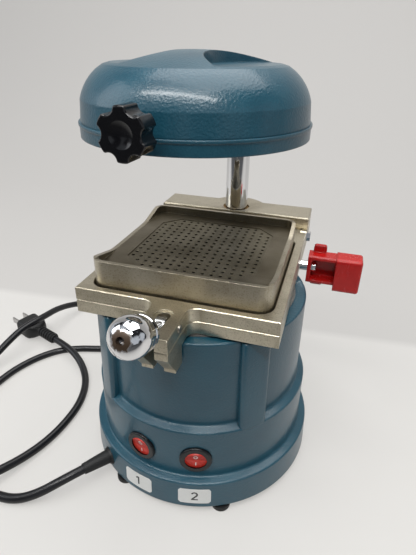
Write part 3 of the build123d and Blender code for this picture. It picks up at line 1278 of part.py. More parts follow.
with BuildPart() as upper_frame:
    with BuildSketch(Plane.XY.offset(UPPER_Z)) as upper_outline:
        notch = PLATE_THICK / 2 + HINGE_SIDE_GAP
        barrel_half = PLATE_HALF - HINGE_LUG - HINGE_SIDE_GAP
        Polygon(*clamp_corners(HINGE_Y, barrel_half, notch), align=None)
        for side in (-1, 1):
            fillet(at_vertex(upper_outline, side * TONGUE_WIDTH / 2, PLATE_FRONT), TONGUE_ROOT)
        slot_and_opening()
    extrude(amount=PLATE_THICK)
    chamfer(upper_frame.faces().filter_by(Plane.XY).edges(), PLATE_BEVEL)
    # Rear end rounded about the hinge pin.
    with BuildSketch(Plane.YZ):
        with Locations((HINGE_Y, HINGE_Z)):
            Circle(PLATE_THICK / 2 - HINGE_ROUND_GAP)
    extrude(amount=barrel_half, both=True)
    # Shallow dish round the end of the slot.
    with BuildSketch(Plane.XY.offset(UPPER_TOP)):
        with Locations((0, SLOT_END_Y - SLOT_END_RADIUS)):
            Circle(SLOT_DISH_RADIUS)
    extrude(amount=-SLOT_DISH_DEPTH, mode=Mode.SUBTRACT)
    # Bores of the hinge pin and of the bolt's pin.
    with BuildSketch(Plane.YZ):
        with Locations((HINGE_Y, HINGE_Z)):
            Circle(HINGE_PIN_RADIUS + HINGE_CLEARANCE)
        with Locations((BOLT_PIVOT_Y, BOLT_PIVOT_Z)):
            Circle(BOLT_PIN_RADIUS)
    extrude(amount=PLATE_WIDTH, both=True, mode=Mode.SUBTRACT)
finish(upper_frame, "upper_frame")

with BuildPart() as bolt_pin:
    with BuildSketch(Plane.YZ):
        with Locations((BOLT_PIVOT_Y, BOLT_PIVOT_Z)):
            Circle(BOLT_PIN_RADIUS)
    extrude(amount=TONGUE_WIDTH / 2 + BOLT_PIN_PROUD, both=True)
finish(bolt_pin, "bolt_pin")

# ============ Swing bolt and ball nut ============

bolt_aim = Vector(0, -cos(radians(BOLT_LIFT)), sin(radians(BOLT_LIFT)))
pivot_point = Vector(0, BOLT_PIVOT_Y, BOLT_PIVOT_Z)
bolt_base = Plane(origin=pivot_point, x_dir=(1, 0, 0), z_dir=bolt_aim)
with BuildPart() as swing_bolt:
    with BuildSketch(Plane(origin=pivot_point, x_dir=(0, 1, 0), z_dir=(1, 0, 0))):
        Circle(BOLT_EYE_RADIUS)
    extrude(amount=BOLT_EYE_THICK / 2, both=True)
    with BuildSketch(bolt_base):
        Circle(BOLT_RADIUS)
    extrude(amount=BOLT_LENGTH)
    chamfer(swing_bolt.faces().sort_by(Axis(pivot_point, bolt_aim))[-1].edges(), BOLT_BEVEL)
    with BuildSketch(Plane(origin=pivot_point, x_dir=(0, 1, 0), z_dir=(1, 0, 0))):
        Circle(BOLT_PIN_RADIUS + BOLT_PIN_CLEARANCE)
    extrude(amount=BOLT_EYE_THICK, both=True, mode=Mode.SUBTRACT)
finish(swing_bolt, "swing_bolt")

# The nut's profile runs along the bolt, outwards from its seat.
nut_side = Plane(origin=pivot_point + bolt_aim * NUT_CENTRE, x_dir=bolt_aim, z_dir=(1, 0, 0))
neck_end = -sqrt(NUT_RADIUS**2 - NUT_NECK_RADIUS**2)
with BuildPart() as ball_nut:
    with BuildSketch(nut_side) as nut_profile:
        with BuildLine():
            Polyline(
                (NUT_RADIUS, 0),
                (-NUT_BACK, 0),
                (-NUT_BACK, NUT_NECK_RADIUS - NUT_BEVEL),
                (-NUT_BACK + NUT_BEVEL, NUT_NECK_RADIUS),
                (-NUT_GROOVE - 1, NUT_NECK_RADIUS),
                (-NUT_GROOVE, NUT_GROOVE_RADIUS),
                (-NUT_GROOVE + 1, NUT_NECK_RADIUS),
                (neck_end, NUT_NECK_RADIUS),
            )
            ThreePointArc(
                (neck_end, NUT_NECK_RADIUS),
                (NUT_RADIUS * cos(radians(60)), NUT_RADIUS * sin(radians(60))),
                (NUT_RADIUS, 0),
            )
        make_face()
    revolve(axis=Axis(pivot_point, bolt_aim))
    with BuildSketch(bolt_base):
        Circle(BOLT_RADIUS + NUT_THREAD_CLEARANCE)
    extrude(amount=BOLT_LENGTH + NUT_END_GAP, mode=Mode.SUBTRACT)
    with BuildSketch(bolt_base.offset(NUT_CENTRE + NUT_RADIUS)):
        Circle(NUT_SOCKET_RADIUS)
    extrude(amount=-NUT_SOCKET_DEPTH, mode=Mode.SUBTRACT)
finish(ball_nut, "ball_nut")

# ============ Heater head ============

swing = radians(HEAD_SWING)
head_right = Vector(cos(swing), sin(swing), 0)
head_back = Vector(-sin(swing), cos(swing), 0)
column_foot = Vector(0, COLUMN_Y, 0)
head_middle = column_foot - head_back * HEAD_REACH
hub_plane = Plane(origin=column_foot, x_dir=head_right, z_dir=(0, 0, 1))
head_plane = Plane(origin=head_middle, x_dir=head_right, z_dir=(0, 0, 1))
head_side = Plane(origin=head_middle, x_dir=head_right, z_dir=-head_back)
head_axis = Axis(head_middle, (0, 0, 1))


def arm_outline(radius):
    """Hub round the column and the arm that joins it to the head, drawn into the sketch in hand."""
    Circle(radius)
    with Locations((0, -HEAD_REACH / 4)):
        Rectangle(2 * radius, HEAD_REACH / 2)


with BuildPart() as head_rim:
    with BuildSketch(head_plane.offset(HEAD_Z)):
        Circle(RIM_RADIUS)
    extrude(amount=RIM_HEIGHT)
    with BuildSketch(head_plane.offset(RIM_TOP - RIM_BEAD_HEIGHT)):
        Circle(RIM_RADIUS + RIM_BEAD)
    extrude(amount=RIM_BEAD_HEIGHT)
    bead = head_rim.edges().filter_by(GeomType.CIRCLE).filter_by(
        lambda e: abs(e.radius - RIM_RADIUS - RIM_BEAD) < 0.01
    )
    fillet(bead, RIM_BEAD_ROUND)
    with BuildSketch(hub_plane.offset(HEAD_Z)):
        arm_outline(HUB_RADIUS)
    extrude(amount=RIM_HEIGHT)
    with BuildSketch(head_plane.offset(HEAD_Z)):
        Circle(RIM_RADIUS - RIM_WALL - RIM_LIP)
    extrude(amount=RIM_HEIGHT, mode=Mode.SUBTRACT)
    with BuildSketch(head_plane.offset(HEAD_Z + RIM_LIP_THICK)):
        Circle(RIM_RADIUS - RIM_WALL)
    extrude(amount=RIM_HEIGHT, mode=Mode.SUBTRACT)
    with BuildSketch(hub_plane.offset(HEAD_Z)):
        Circle(BUSH_RADIUS)
    extrude(amount=RIM_HEIGHT, mode=Mode.SUBTRACT)
finish(head_rim, "head_rim")

with BuildPart() as hub_bush:
    with BuildSketch(hub_plane.offset(HEAD_Z)):
        Circle(BUSH_RADIUS)
        Circle(COLUMN_RADIUS + SLIDE_CLEARANCE, mode=Mode.SUBTRACT)
    extrude(amount=RIM_HEIGHT)
finish(hub_bush, "hub_bush")

with BuildPart() as head_cover:
    with BuildSketch(head_side):
        with BuildLine():
            wall_top = (DOME_WALL_TOP, RIM_TOP + DOME_WALL_HEIGHT)
            shoulder = (DOME_SHOULDER_RADIUS, RIM_TOP + DOME_SHOULDER_HEIGHT)
            crown = (0, RIM_TOP + DOME_HEIGHT)
            Polyline((0, RIM_TOP), (DOME_WALL_RADIUS, RIM_TOP), wall_top)
            ThreePointArc(wall_top, (DOME_BEND[0], RIM_TOP + DOME_BEND[1]), shoulder)
            drop = DOME_HEIGHT - DOME_SHOULDER_HEIGHT
            crown_radius = (DOME_SHOULDER_RADIUS**2 + drop**2) / (2 * drop)
            CenterArc((0, crown[1] - crown_radius), crown_radius, 90, -degrees(asin(shoulder[0] / crown_radius)))
            Line(crown, (0, RIM_TOP))
        make_face()
    revolve(axis=head_axis)
    with BuildSketch(hub_plane.offset(RIM_TOP)):
        arm_outline(HUB_RADIUS)
    extrude(amount=HUB_HEIGHT - HUB_BEVEL)
    with BuildSketch(hub_plane.offset(RIM_TOP + HUB_HEIGHT - HUB_BEVEL)):
        arm_outline(HUB_RADIUS)
    extrude(amount=HUB_BEVEL, taper=45)
    with BuildSketch(head_plane.offset(RIM_TOP + SCOOP_FLOOR)):
        for side in (-1, 1):
            with Locations((side * SCOOP_PLACE, -SCOOP_FORWARD)):
                Circle(SCOOP_RADIUS)
    extrude(amount=DOME_HEIGHT, mode=Mode.SUBTRACT)
    # Hollow of the cover.
    with BuildSketch(head_plane.offset(RIM_TOP)):
        Circle(DOME_INSIDE_RADIUS)
    extrude(amount=DOME_INSIDE_HEIGHT - DOME_INSIDE_ROUND, mode=Mode.SUBTRACT)
    with BuildSketch(head_plane.offset(RIM_TOP + DOME_INSIDE_HEIGHT - DOME_INSIDE_ROUND)):
        Circle(DOME_INSIDE_RADIUS)
    extrude(amount=DOME_INSIDE_ROUND, taper=DOME_INSIDE_SLOPE, mode=Mode.SUBTRACT)
    with BuildSketch(hub_plane.offset(RIM_TOP)):
        Circle(COLUMN_RADIUS + HUB_BORE_CLEARANCE)
    extrude(amount=COLUMN_TOP - RIM_TOP + HUB_END_GAP, mode=Mode.SUBTRACT)
    # Posts that the reflector is screwed to.
    with BuildSketch(head_plane.offset(REFLECTOR_Z + REFLECTOR_THICK)):
        with PolarLocations(POST_CIRCLE, 3, start_angle=90):
            Circle(POST_RADIUS)
    extrude(amount=RIM_TOP + DOME_INSIDE_HEIGHT + 1 - REFLECTOR_Z - REFLECTOR_THICK)
    # Seat of the knob's neck.
    knob_plane = Plane(
        origin=head_middle - head_back * KNOB_FACE + Vector(0, 0, KNOB_Z), x_dir=head_right, z_dir=-head_back
    )
    with BuildSketch(knob_plane):
        Circle(KNOB_NECK_RADIUS)
    extrude(amount=DOME_WALL_TOP - KNOB_NECK_SEAT - KNOB_FACE, mode=Mode.SUBTRACT)
finish(head_cover, "head_cover")

with BuildPart() as star_knob:
    with BuildSketch(knob_plane.offset(-KNOB_THICK)) as star:
        Circle(KNOB_RADIUS)
        with PolarLocations(KNOB_SCALLOP_CIRCLE, KNOB_LOBES):
            Circle(KNOB_SCALLOP, mode=Mode.SUBTRACT)
        fillet(star.vertices(), KNOB_ROUND)
    extrude(amount=KNOB_THICK)
    fillet(star_knob.faces().sort_by(Axis(knob_plane.origin, knob_plane.z_dir))[-1].edges(), KNOB_EDGE)
    dish_radius = (KNOB_RADIUS**2 / 4 + KNOB_DISH**2) / (2 * KNOB_DISH)
    with Locations(Location(knob_plane.origin + knob_plane.z_dir * (dish_radius - KNOB_DISH))):
        Sphere(dish_radius, mode=Mode.SUBTRACT)
    with BuildSketch(knob_plane.offset(-KNOB_THICK)):
        Circle(KNOB_NECK_RADIUS)
    extrude(amount=DOME_WALL_TOP - KNOB_NECK_SEAT - KNOB_FACE + KNOB_THICK)
finish(star_knob, "star_knob")

with BuildPart() as reflector_plate:
    with BuildSketch(head_plane.offset(REFLECTOR_Z)):
        Circle(REFLECTOR_RADIUS)
    extrude(amount=REFLECTOR_THICK)
finish(reflector_plate, "reflector_plate")

HEATER_Z = REFLECTOR_Z - HEATER_THICK
terminal_places = [
    (COIL_OUTER, -TERMINAL_SIDE / 2),
    (COIL_OUTER - COIL_PITCH * COIL_TURNS, TERMINAL_SIDE / 2),
]
with BuildPart() as heater_plate:
    with BuildSketch(head_plane.offset(HEATER_Z)):
        Circle(HEATER_RADIUS)
    extrude(amount=HEATER_THICK)
    fillet(heater_plate.faces().sort_by(Axis.Z)[0].edges(), HEATER_ROUND)
finish(heater_plate, "heater_plate")

# Each turn of the coil is two half circles: one about the middle, one about a point half a pitch aside.
with BuildPart() as heating_coil:
    with BuildLine(head_plane.offset(HEATER_Z - COIL_RADIUS)) as coil_line:
        for turn in range(COIL_TURNS):
            start = COIL_OUTER - turn * COIL_PITCH
            left = -(start - COIL_PITCH / 2)
            CenterArc(((start + left) / 2, 0), (start - left) / 2, 0, 180)
            right = start - COIL_PITCH
            CenterArc(((left + right) / 2, 0), (right - left) / 2, 180, 180)
    with BuildSketch(Plane(origin=coil_line.line @ 0, z_dir=coil_line.line % 0)):
        Circle(COIL_RADIUS)
    sweep()
finish(heating_coil, "heating_coil")

with BuildPart() as coil_terminals:
    with BuildSketch(head_plane.offset(HEATER_Z)):
        with Locations(*terminal_places):
            Rectangle(TERMINAL_SIDE, TERMINAL_SIDE)
    extrude(amount=-2 * COIL_RADIUS)
finish(coil_terminals, "coil_terminals")
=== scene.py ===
# %% [markdown]
# # A dental vacuum former, dressed
# The machine stands on a bench: a hammer-painted body with two rocker switches, a nickel-plated pan with a
# perforated plate, a clamp frame that slides on a chromed column, and a heater head above. The solids come
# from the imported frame. This lesson adds the camera, the finishes and what the solids leave out: the cord and
# its plug as soft shapes, the wound heating wire, three ribs of the body, labels, switch marks and threads.

# %% Load the frame
import math

import bmesh
import bpy
from mathutils import Matrix, Vector


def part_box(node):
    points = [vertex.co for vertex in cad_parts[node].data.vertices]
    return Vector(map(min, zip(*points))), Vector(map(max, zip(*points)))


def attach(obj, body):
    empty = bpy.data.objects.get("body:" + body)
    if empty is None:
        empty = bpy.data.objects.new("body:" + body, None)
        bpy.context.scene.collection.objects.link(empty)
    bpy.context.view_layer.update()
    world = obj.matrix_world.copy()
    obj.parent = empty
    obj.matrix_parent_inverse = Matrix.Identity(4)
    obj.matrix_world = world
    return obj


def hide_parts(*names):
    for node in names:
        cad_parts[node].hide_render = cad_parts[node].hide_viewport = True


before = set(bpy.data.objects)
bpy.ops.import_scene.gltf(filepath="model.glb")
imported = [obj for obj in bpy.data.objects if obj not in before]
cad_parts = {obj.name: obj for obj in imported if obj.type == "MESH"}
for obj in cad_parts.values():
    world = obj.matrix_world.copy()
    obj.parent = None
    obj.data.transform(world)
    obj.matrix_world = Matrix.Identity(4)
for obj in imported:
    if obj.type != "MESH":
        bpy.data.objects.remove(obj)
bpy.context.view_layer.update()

# %% [markdown]
# ## Millimetres from the body's axis
# The frame is in metres, and its origin lies on the bench below the middle of the machine's outline. Sizes are
# easier to type in millimetres, and places are easier to find from the round body's axis. So places are written
# that way, and BODY_AXIS and MM carry them into the frame.

# %% Units and axis
MM = 0.001
BODY_AXIS = Vector((-12.0, 2.0, 0.0))
print("the body's axis stands at", tuple(BODY_AXIS), "mm")

# %% [markdown]
# ## The camera
# A camera can be placed by eye, or solved from straight edges and circles whose sizes are known. This one was
# solved from the plates and the round body, so it is written as a place in the frame, three turns and a focal
# length. The focal length is in pixels of a picture 555 high, which the 36 mm sensor's long side covers.

# %% Place the camera
CAMERA_PLACE = Vector((73.431, -275.427, 303.819)) * MM
CAMERA_YAW = -0.287262
CAMERA_PITCH = -0.494743
CAMERA_ROLL = 0.016369
FOCAL_PIXELS = 434.706
PICTURE_HEIGHT = 555
SENSOR = 36.0


def camera_turn(yaw, pitch, roll):
    """Rotation of a camera that looks along +Y before it is turned."""
    ahead = Vector((math.sin(yaw) * math.cos(pitch), math.cos(yaw) * math.cos(pitch), math.sin(pitch)))
    level = Vector((math.cos(yaw), -math.sin(yaw), 0))
    upward = level.cross(ahead)
    right = level * math.cos(roll) + upward * math.sin(roll)
    top = upward * math.cos(roll) - level * math.sin(roll)
    return Matrix((right, top, -ahead)).transposed().to_4x4()


lens = bpy.data.cameras.new("camera")
lens.sensor_width = SENSOR
lens.lens = SENSOR * FOCAL_PIXELS / PICTURE_HEIGHT
lens.clip_start = 0.01
camera = bpy.data.objects.new("camera", lens)
camera.matrix_world = Matrix.Translation(CAMERA_PLACE) @ camera_turn(CAMERA_YAW, CAMERA_PITCH, CAMERA_ROLL)
bpy.context.scene.collection.objects.link(camera)
bpy.context.scene.camera = camera
print("lens", round(lens.lens, 2), "mm")

# %% [markdown]
# ## Helpers that every piece uses
# Blender makes many shapes from a curve or a modifier. What the machine keeps are plain meshes, which are
# lifted off the evaluated object. Each mesh is then linked and set to ride on one body of the mechanism.


# %% From a mesh to a piece
def plain_mesh(source):
    """What an object's curve or modifiers make of it, as a mesh of its own."""
    bpy.context.view_layer.update()
    return bpy.data.meshes.new_from_object(source.evaluated_get(bpy.context.evaluated_depsgraph_get()))


def shade_smooth(mesh):
    """Round shading for every face."""
    for polygon in mesh.polygons:
        polygon.use_smooth = True


def keep(name, mesh, body):
    """Put a mesh in the scene as a piece that rides on a body."""
    piece = bpy.data.objects.new(name, mesh)
    bpy.context.scene.collection.objects.link(piece)
    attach(piece, body)
    print(name, "faces:", len(mesh.polygons))
    return piece


print("piece helpers ready")

# %% [markdown]
# ## The power cord
# A mains lead is a heavy, springy hose: it leaves the gland straight, sinks to the bench and lies in wide
# loose bends, and where it crosses itself it rises in a long low hump. A curve with a round bevel draws it. A
# NURBS spline of order 3 stays smooth with few points, which poly or Bezier splines don't.

# %% Where the cord lies
CORD_DIAMETER = 7 * MM
GROUND = 3.5  # height of the cord's middle where it lies on the bench
BODY_AXIS_TO_GLAND = 89.0
GLAND_LENGTH = 23.0
GLAND_HEIGHT = 14.0
GLAND_ANGLE = math.radians(-127)
LEAD_OUT = 14.0
PLUG_HEADING = math.radians(160)
LEAD_IN = 17.0
PLUG_TIP = Vector((-188.0, 51.0, 11.0))

gland_aim = Vector((math.cos(GLAND_ANGLE), math.sin(GLAND_ANGLE), 0))
gland_tip = gland_aim * (BODY_AXIS_TO_GLAND + GLAND_LENGTH) + Vector((0, 0, GLAND_HEIGHT))
plug_aim = Vector((math.cos(PLUG_HEADING), math.sin(PLUG_HEADING), 0))
cord_route = [
    # Out of the gland, down to the bench and round to the left.
    gland_tip, gland_tip + gland_aim * LEAD_OUT, (-92.0, -114.5, 7.5), (-107.0, -121.5, 4.0),
    (-125.0, -122.5, GROUND), (-146.0, -121.0, GROUND), (-170.0, -112.0, GROUND), (-190.0, -94.0, GROUND),
    (-203.0, -69.0, GROUND), (-208.0, -42.0, GROUND), (-206.5, -17.0, GROUND), (-203.0, 3.0, GROUND),
    # In behind the body and back out, in one loop.
    (-193.7, 24.5, GROUND), (-178.8, 42.9, GROUND), (-160.0, 52.7, GROUND), (-137.7, 58.9, GROUND),
    (-102.7, 70.6, GROUND), (-87.6, 91.8, GROUND), (-87.8, 117.8, GROUND), (-103.3, 138.6, GROUND),
    (-141.0, 151.0, GROUND), (-167.0, 150.0, GROUND), (-190.0, 141.0, 5.5), (-205.0, 120.5, 13.0),
    # Over the plug's boot, and forward along the left side.
    (-209.0, 92.0, 23.0), (-208.5, 64.0, 28.5), (-216.5, 37.5, 28.5), (-222.5, 20.0, 21.5),
    (-227.0, 4.0, 14.5), (-231.5, -16.0, 8.0), (-236.0, -40.0, 4.5), (-236.5, -68.0, GROUND),
    (-229.0, -96.0, GROUND), (-216.0, -121.0, GROUND),
    # Over its own first run, and back along the body's left side to the plug.
    (-195.0, -138.0, 4.5), (-170.0, -143.0, 8.0), (-148.0, -133.0, 12.0), (-134.0, -113.0, 10.5),
    (-124.0, -90.0, 5.5), (-117.0, -67.6, GROUND), (-113.4, -43.0, GROUND), (-114.5, -17.9, GROUND),
    (-123.5, 7.0, GROUND), (-137.5, 24.6, 6.5), (-154.5, 36.5, 10.5), PLUG_TIP - plug_aim * LEAD_IN, PLUG_TIP,
]
print("points along the cord:", len(cord_route))

# %% Draw the cord
cord_curve = bpy.data.curves.new("cord", "CURVE")
cord_curve.dimensions = "3D"
cord_curve.bevel_depth = CORD_DIAMETER / 2
cord_curve.bevel_resolution = 5
cord_curve.resolution_u = 10
cord_curve.use_fill_caps = True
spline = cord_curve.splines.new("NURBS")
spline.points.add(len(cord_route) - 1)
for control, place in zip(spline.points, cord_route):
    control.co = (*((Vector(place) + BODY_AXIS) * MM), 1)
spline.order_u = 3
spline.use_endpoint_u = True
drawn_cord = bpy.data.objects.new("cord_route", cord_curve)
bpy.context.scene.collection.objects.link(drawn_cord)
print("cord drawn with", len(spline.points), "control points")

# %% [markdown]
# A curve's control points count in its bounds, so its box would be wrong. As a mesh it is measured rightly. The
# same curve without its bevel gives the line through the cord's middle, and so its length.

# %% Make it a tube
tube = plain_mesh(drawn_cord)
shade_smooth(tube)
cord_curve.bevel_depth = 0
cord_path = [vertex.co.copy() for vertex in plain_mesh(drawn_cord).vertices]
bpy.data.objects.remove(drawn_cord)
cord = keep("mains_cord", tube, "base")
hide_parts("power_cord")

# %% [markdown]
# ## A short way to write finishes
# A finish is a small sum: a base colour, plus what dirt, grain or wear adds to it. Written with Math nodes one
# by one it is long and hard to read. A class that wraps a socket and overloads + - * / lets the sum be typed
# as a sum, and one method makes every other node.


# %% Sums of sockets
class Value:
    """A number or colour that varies over a surface. Arithmetic on it adds Math nodes."""

    def __init__(self, nodes, socket):
        self.nodes = nodes
        self.socket = socket

    def math(self, operation, first, second=0.0):
        return self.nodes.node("Math", {"operation": operation}, {0: first, 1: second})

    def __add__(self, other):
        return self.math("ADD", self, other)

    def __radd__(self, other):
        return self.math("ADD", other, self)

    def __sub__(self, other):
        return self.math("SUBTRACT", self, other)

    def __rsub__(self, other):
        return self.math("SUBTRACT", other, self)

    def __mul__(self, other):
        return self.math("MULTIPLY", self, other)

    def __rmul__(self, other):
        return self.math("MULTIPLY", other, self)

    def __truediv__(self, other):
        return self.math("DIVIDE", self, other)

    def __abs__(self):
        return self.math("ABSOLUTE", self)


def rgba(shade):
    """What a colour socket takes: a varying colour as it is, a plain colour or a grey with full alpha."""
    if isinstance(shade, Value):
        return shade
    return (*shade, 1) if isinstance(shade, tuple) else (shade, shade, shade, 1)


print("sockets can be added up")


# %% Nodes
class Nodes:
    """A node tree to which one method adds every node."""

    def __init__(self, tree):
        self.tree = tree

    def node(self, kind, settings=None, inputs=None, output=0):
        """Make one shader node: its settings first, then the values or links of its sockets."""
        made = self.tree.nodes.new("ShaderNode" + kind)
        for key, setting in (settings or {}).items():
            if key == "stops":
                for stop, (place, shade) in zip(made.color_ramp.elements, setting):
                    stop.position = place
                    stop.color = rgba(shade)
            else:
                setattr(made, key, setting)
        for key, value in (inputs or {}).items():
            self.feed(made.inputs[key], value)
        return Value(self, made.outputs[output])

    def feed(self, socket, value):
        """Link a varying value to a socket, or set a constant on it."""
        if isinstance(value, Value):
            self.tree.links.new(value.socket, socket)
        else:
            socket.default_value = value

    def axis(self, point, number):
        """One coordinate of a point: 0, 1 or 2."""
        return self.node("SeparateXYZ", {}, {0: point}, output=number)

    def noise(self, place, scale, detail=2.0):
        return self.node("TexNoise", {}, {"Vector": place, "Scale": scale, "Detail": detail})

    def ramp(self, value, low, high, first=0.0, last=1.0):
        """The first shade below low, the last above high, and a blend between."""
        return self.node("ValToRGB", {"stops": ((low, first), (high, last))}, {0: value})

    def mix(self, factor, first, second):
        """Colour that goes from the first to the second as factor goes from 0 to 1."""
        return self.node("Mix", {"data_type": "RGBA"}, {0: factor, 6: rgba(first), 7: rgba(second)}, output=2)


print("node helper ready")

# %% [markdown]
# A finish adds the Principled shader to that. Constants go straight onto the shader's own sockets, and patterns
# read Object coordinates, so that they stay on their piece when it moves.


# %% Finishes
class Finish(Nodes):
    """A material whose varying inputs are built up node by node."""

    def __init__(self, name, **constants):
        self.material = bpy.data.materials.new(name)
        self.material.use_nodes = True
        super().__init__(self.material.node_tree)
        self.shader = self.tree.nodes["Principled BSDF"]
        self.set(**constants)

    def set(self, **values):
        """Feed the shader's sockets, named with _ for each space."""
        for name, value in values.items():
            self.feed(self.shader.inputs[name.replace("_", " ")], value)

    def colour(self):
        """The varying base colour so far."""
        return Value(self, self.shader.inputs["Base Color"].links[0].from_socket)

    def place(self, stretch=(1, 1, 1), centre=(0, 0, 0), turn=(0, 0, 0)):
        """Object coordinates in metres, centred, turned and stretched."""
        point = self.node("TexCoord", output="Object")
        scale = tuple(1 / factor for factor in stretch)
        return self.node("Mapping", {"vector_type": "TEXTURE"}, {0: point, 1: centre, 2: turn, 3: scale})

    def bump(self, height, distance, strength, over=None):
        """Relief of a height that runs from 0 to 1, which are this far apart in metres."""
        inputs = {"Height": height, "Distance": distance, "Strength": strength}
        if over is not None:
            inputs["Normal"] = over
        return self.node("Bump", {}, inputs)

    def soft_edges(self, radius):
        """Normals that turn gently round a sharp edge."""
        return self.node("Bevel", {"samples": 4}, {"Radius": radius})


print("finish helper ready")

# %% [markdown]
# ## Hammered blue paint
# The body and the head are castings under a stoved hammer enamel: a deep teal that runs into small round
# dimples while it dries, under its own gloss. The dimples could be modelled, but at a millimetre across a
# bump from a Voronoi pattern does the same. A wide noise makes the colour drift as a sprayed coat does.

# %% Hammered paint
TEAL = (0.007, 0.052, 0.082)
TEAL_PALE = (0.014, 0.080, 0.118)
DIMPLE_SCALE = 820.0
DIMPLE_DEPTH = 0.26 * MM
DRIFT_SCALE = 28.0
CAST_EDGE = 1.2 * MM

paint = Finish("hammered_paint", Coat_Weight=0.25, Coat_Roughness=0.12, Specular_IOR_Level=0.5)
where = paint.place()
dimples = paint.node("TexVoronoi", {"feature": "SMOOTH_F1"}, {"Vector": where, "Scale": DIMPLE_SCALE})
drift = paint.noise(where, DRIFT_SCALE, detail=4.0)
speckle = paint.noise(where, DIMPLE_SCALE * 1.7)
relief = dimples * 0.7 + speckle * 0.3
paint.set(
    Base_Color=paint.mix(paint.ramp(drift * 0.6 + speckle * 0.4, 0.35, 0.68), TEAL, TEAL_PALE),
    Roughness=0.25 + speckle * 0.14,
    Normal=paint.bump(relief, DIMPLE_DEPTH, 0.85, over=paint.soft_edges(CAST_EDGE)),
)
print("paint nodes:", len(paint.tree.nodes))

# %% [markdown]
# ## Nickel plate on cast plates
# The pan, plates and rear block are milled castings under dull nickel, which has a warm, brownish grey and
# shows the long fine scratches of the milling. Stretching a noise along one axis draws them: 40 times longer
# than wide. A second noise, a few centimetres wide, adds the stains of use, which are browner and duller, and
# a third the small dark pits of the casting.

# %% Nickel plate
NICKEL, NICKEL_WORN = (0.67, 0.615, 0.49), (0.30, 0.26, 0.185)
PAN_NICKEL, PAN_WORN = (0.52, 0.475, 0.38), (0.28, 0.24, 0.17)
SCREEN_NICKEL, SCREEN_WORN = (0.24, 0.214, 0.155), (0.125, 0.107, 0.07)
STAIN_SCALE = 34.0
GRAIN_SCALE = 780.0
PIT_SCALE = 1040.0
GRAIN_LENGTH = 40
GRAIN_DEPTH = 0.05 * MM
MILLED_EDGE = 0.5 * MM


def nickel_plate(name, bright, worn, grain_axis, roughness):
    """Milled and plated metal with its grain along one axis."""
    finish = Finish(name, Metallic=1.0)
    where = finish.place()
    along = finish.place(tuple(1 / GRAIN_LENGTH if axis == grain_axis else 1.0 for axis in range(3)))
    grain = finish.noise(along, GRAIN_SCALE, detail=3.0)
    pits = finish.noise(where, PIT_SCALE)
    stained = finish.ramp(finish.noise(where, STAIN_SCALE, detail=5.0), 0.42, 0.72)
    wear = stained * 0.6 + grain * 0.25 + finish.ramp(pits, 0.52, 0.7) * 0.45
    finish.set(
        Base_Color=finish.mix(wear, bright, worn),
        Roughness=roughness + grain * 0.12 + stained * 0.1,
        Normal=finish.bump(grain * 0.8 + pits * 0.2, GRAIN_DEPTH, 0.35, over=finish.soft_edges(MILLED_EDGE)),
    )
    return finish


plates = nickel_plate("plated_castings", NICKEL, NICKEL_WORN, 0, 0.26)
pan_metal = nickel_plate("pan_plate", PAN_NICKEL, PAN_WORN, 0, 0.27)
screen_metal = nickel_plate("screen_plate", SCREEN_NICKEL, SCREEN_WORN, 1, 0.36)
print("plate finishes:", plates.material.name, pan_metal.material.name, screen_metal.material.name)

# %% [markdown]
# The pan's floor and the inside of its rim are baked browner than its outside. A point's distance from the
# middle, as a share of the way to the rim's inner wall, picks them out: the larger of the sideways and the
# lengthways one, because the rim is square. Below its face the perforated plate is seen only down its holes,
# which lie in shade; their walls are painted black as painted shade.

# %% Brown inside the pan, painted shade in the holes
PAN_INSIDE = (57.2 * MM, 56.4 * MM)
PAN_BROWN = (0.120, 0.099, 0.060)
# painted shade: the black down the perforated plate's holes
HOLE_SHADE = (0.004, 0.004, 0.004)
SCREEN_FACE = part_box("perforated_plate")[1].z

where = pan_metal.place(centre=tuple(BODY_AXIS * MM))
sideways, lengthways = (abs(pan_metal.axis(where, number)) / half for number, half in enumerate(PAN_INSIDE))
outward = sideways.math("MAXIMUM", sideways, lengthways)
blotches = pan_metal.noise(pan_metal.place(), 55.0, detail=5.0)
browned = (1 - pan_metal.ramp(outward, 0.985, 1.0)) * (0.55 + blotches * 0.6)
pan_metal.set(Base_Color=pan_metal.mix(browned, pan_metal.colour(), PAN_BROWN))

# Below the plate's face, down its holes, the colour turns black and less metallic: painted shade.
above_face = (screen_metal.axis(screen_metal.place(), 2) - SCREEN_FACE) / MM
painted_hole_shade = 1 - screen_metal.ramp(above_face + 1.0, 0.35, 0.75)
screen_metal.set(
    Base_Color=screen_metal.mix(painted_hole_shade, screen_metal.colour(), HOLE_SHADE),
    Metallic=1.0 - painted_hole_shade * 0.9,
)
print("plate's face at", round(SCREEN_FACE / MM, 1), "mm")

# %% [markdown]
# ## Chrome
# Chrome is a near-perfect mirror, so it is mostly what stands round it. Only fingermarks and fine scratches
# are its own: a patchy noise that lifts the roughness here and there.

# %% Chrome
chrome = Finish("chrome_plating", Metallic=1.0, Base_Color=(0.82, 0.82, 0.83, 1))
smears = chrome.ramp(chrome.noise(chrome.place(), 90.0, detail=4.0), 0.5, 0.75)
scratches = chrome.noise(chrome.place(stretch=(1, 1, 0.05)), 900.0)
chrome.set(Roughness=0.035 + smears * 0.10, Normal=chrome.bump(scratches, 0.01 * MM, 0.2))
print("chrome ready")

# %% [markdown]
# The ball nut is chromed too, but grease and plaster dust have baked brown round its socket. The distance
# from the socket's mouth, broken up by a noise, says where.

# %% Chrome of the ball nut
BOLT_PIVOT = Vector((0, -83.0, 157.9)) + BODY_AXIS
BOLT_LIFT = math.radians(25)
NUT_CENTRE = 42.5
NUT_RADIUS = 11.5
GRIME_REACH = 6.6 * MM
BALL_CHROME, GRIME = (0.80, 0.80, 0.81), (0.07, 0.045, 0.028)
bolt_aim = Vector((0, -math.cos(BOLT_LIFT), math.sin(BOLT_LIFT)))
socket_mouth = (BOLT_PIVOT + bolt_aim * (NUT_CENTRE + NUT_RADIUS)) * MM

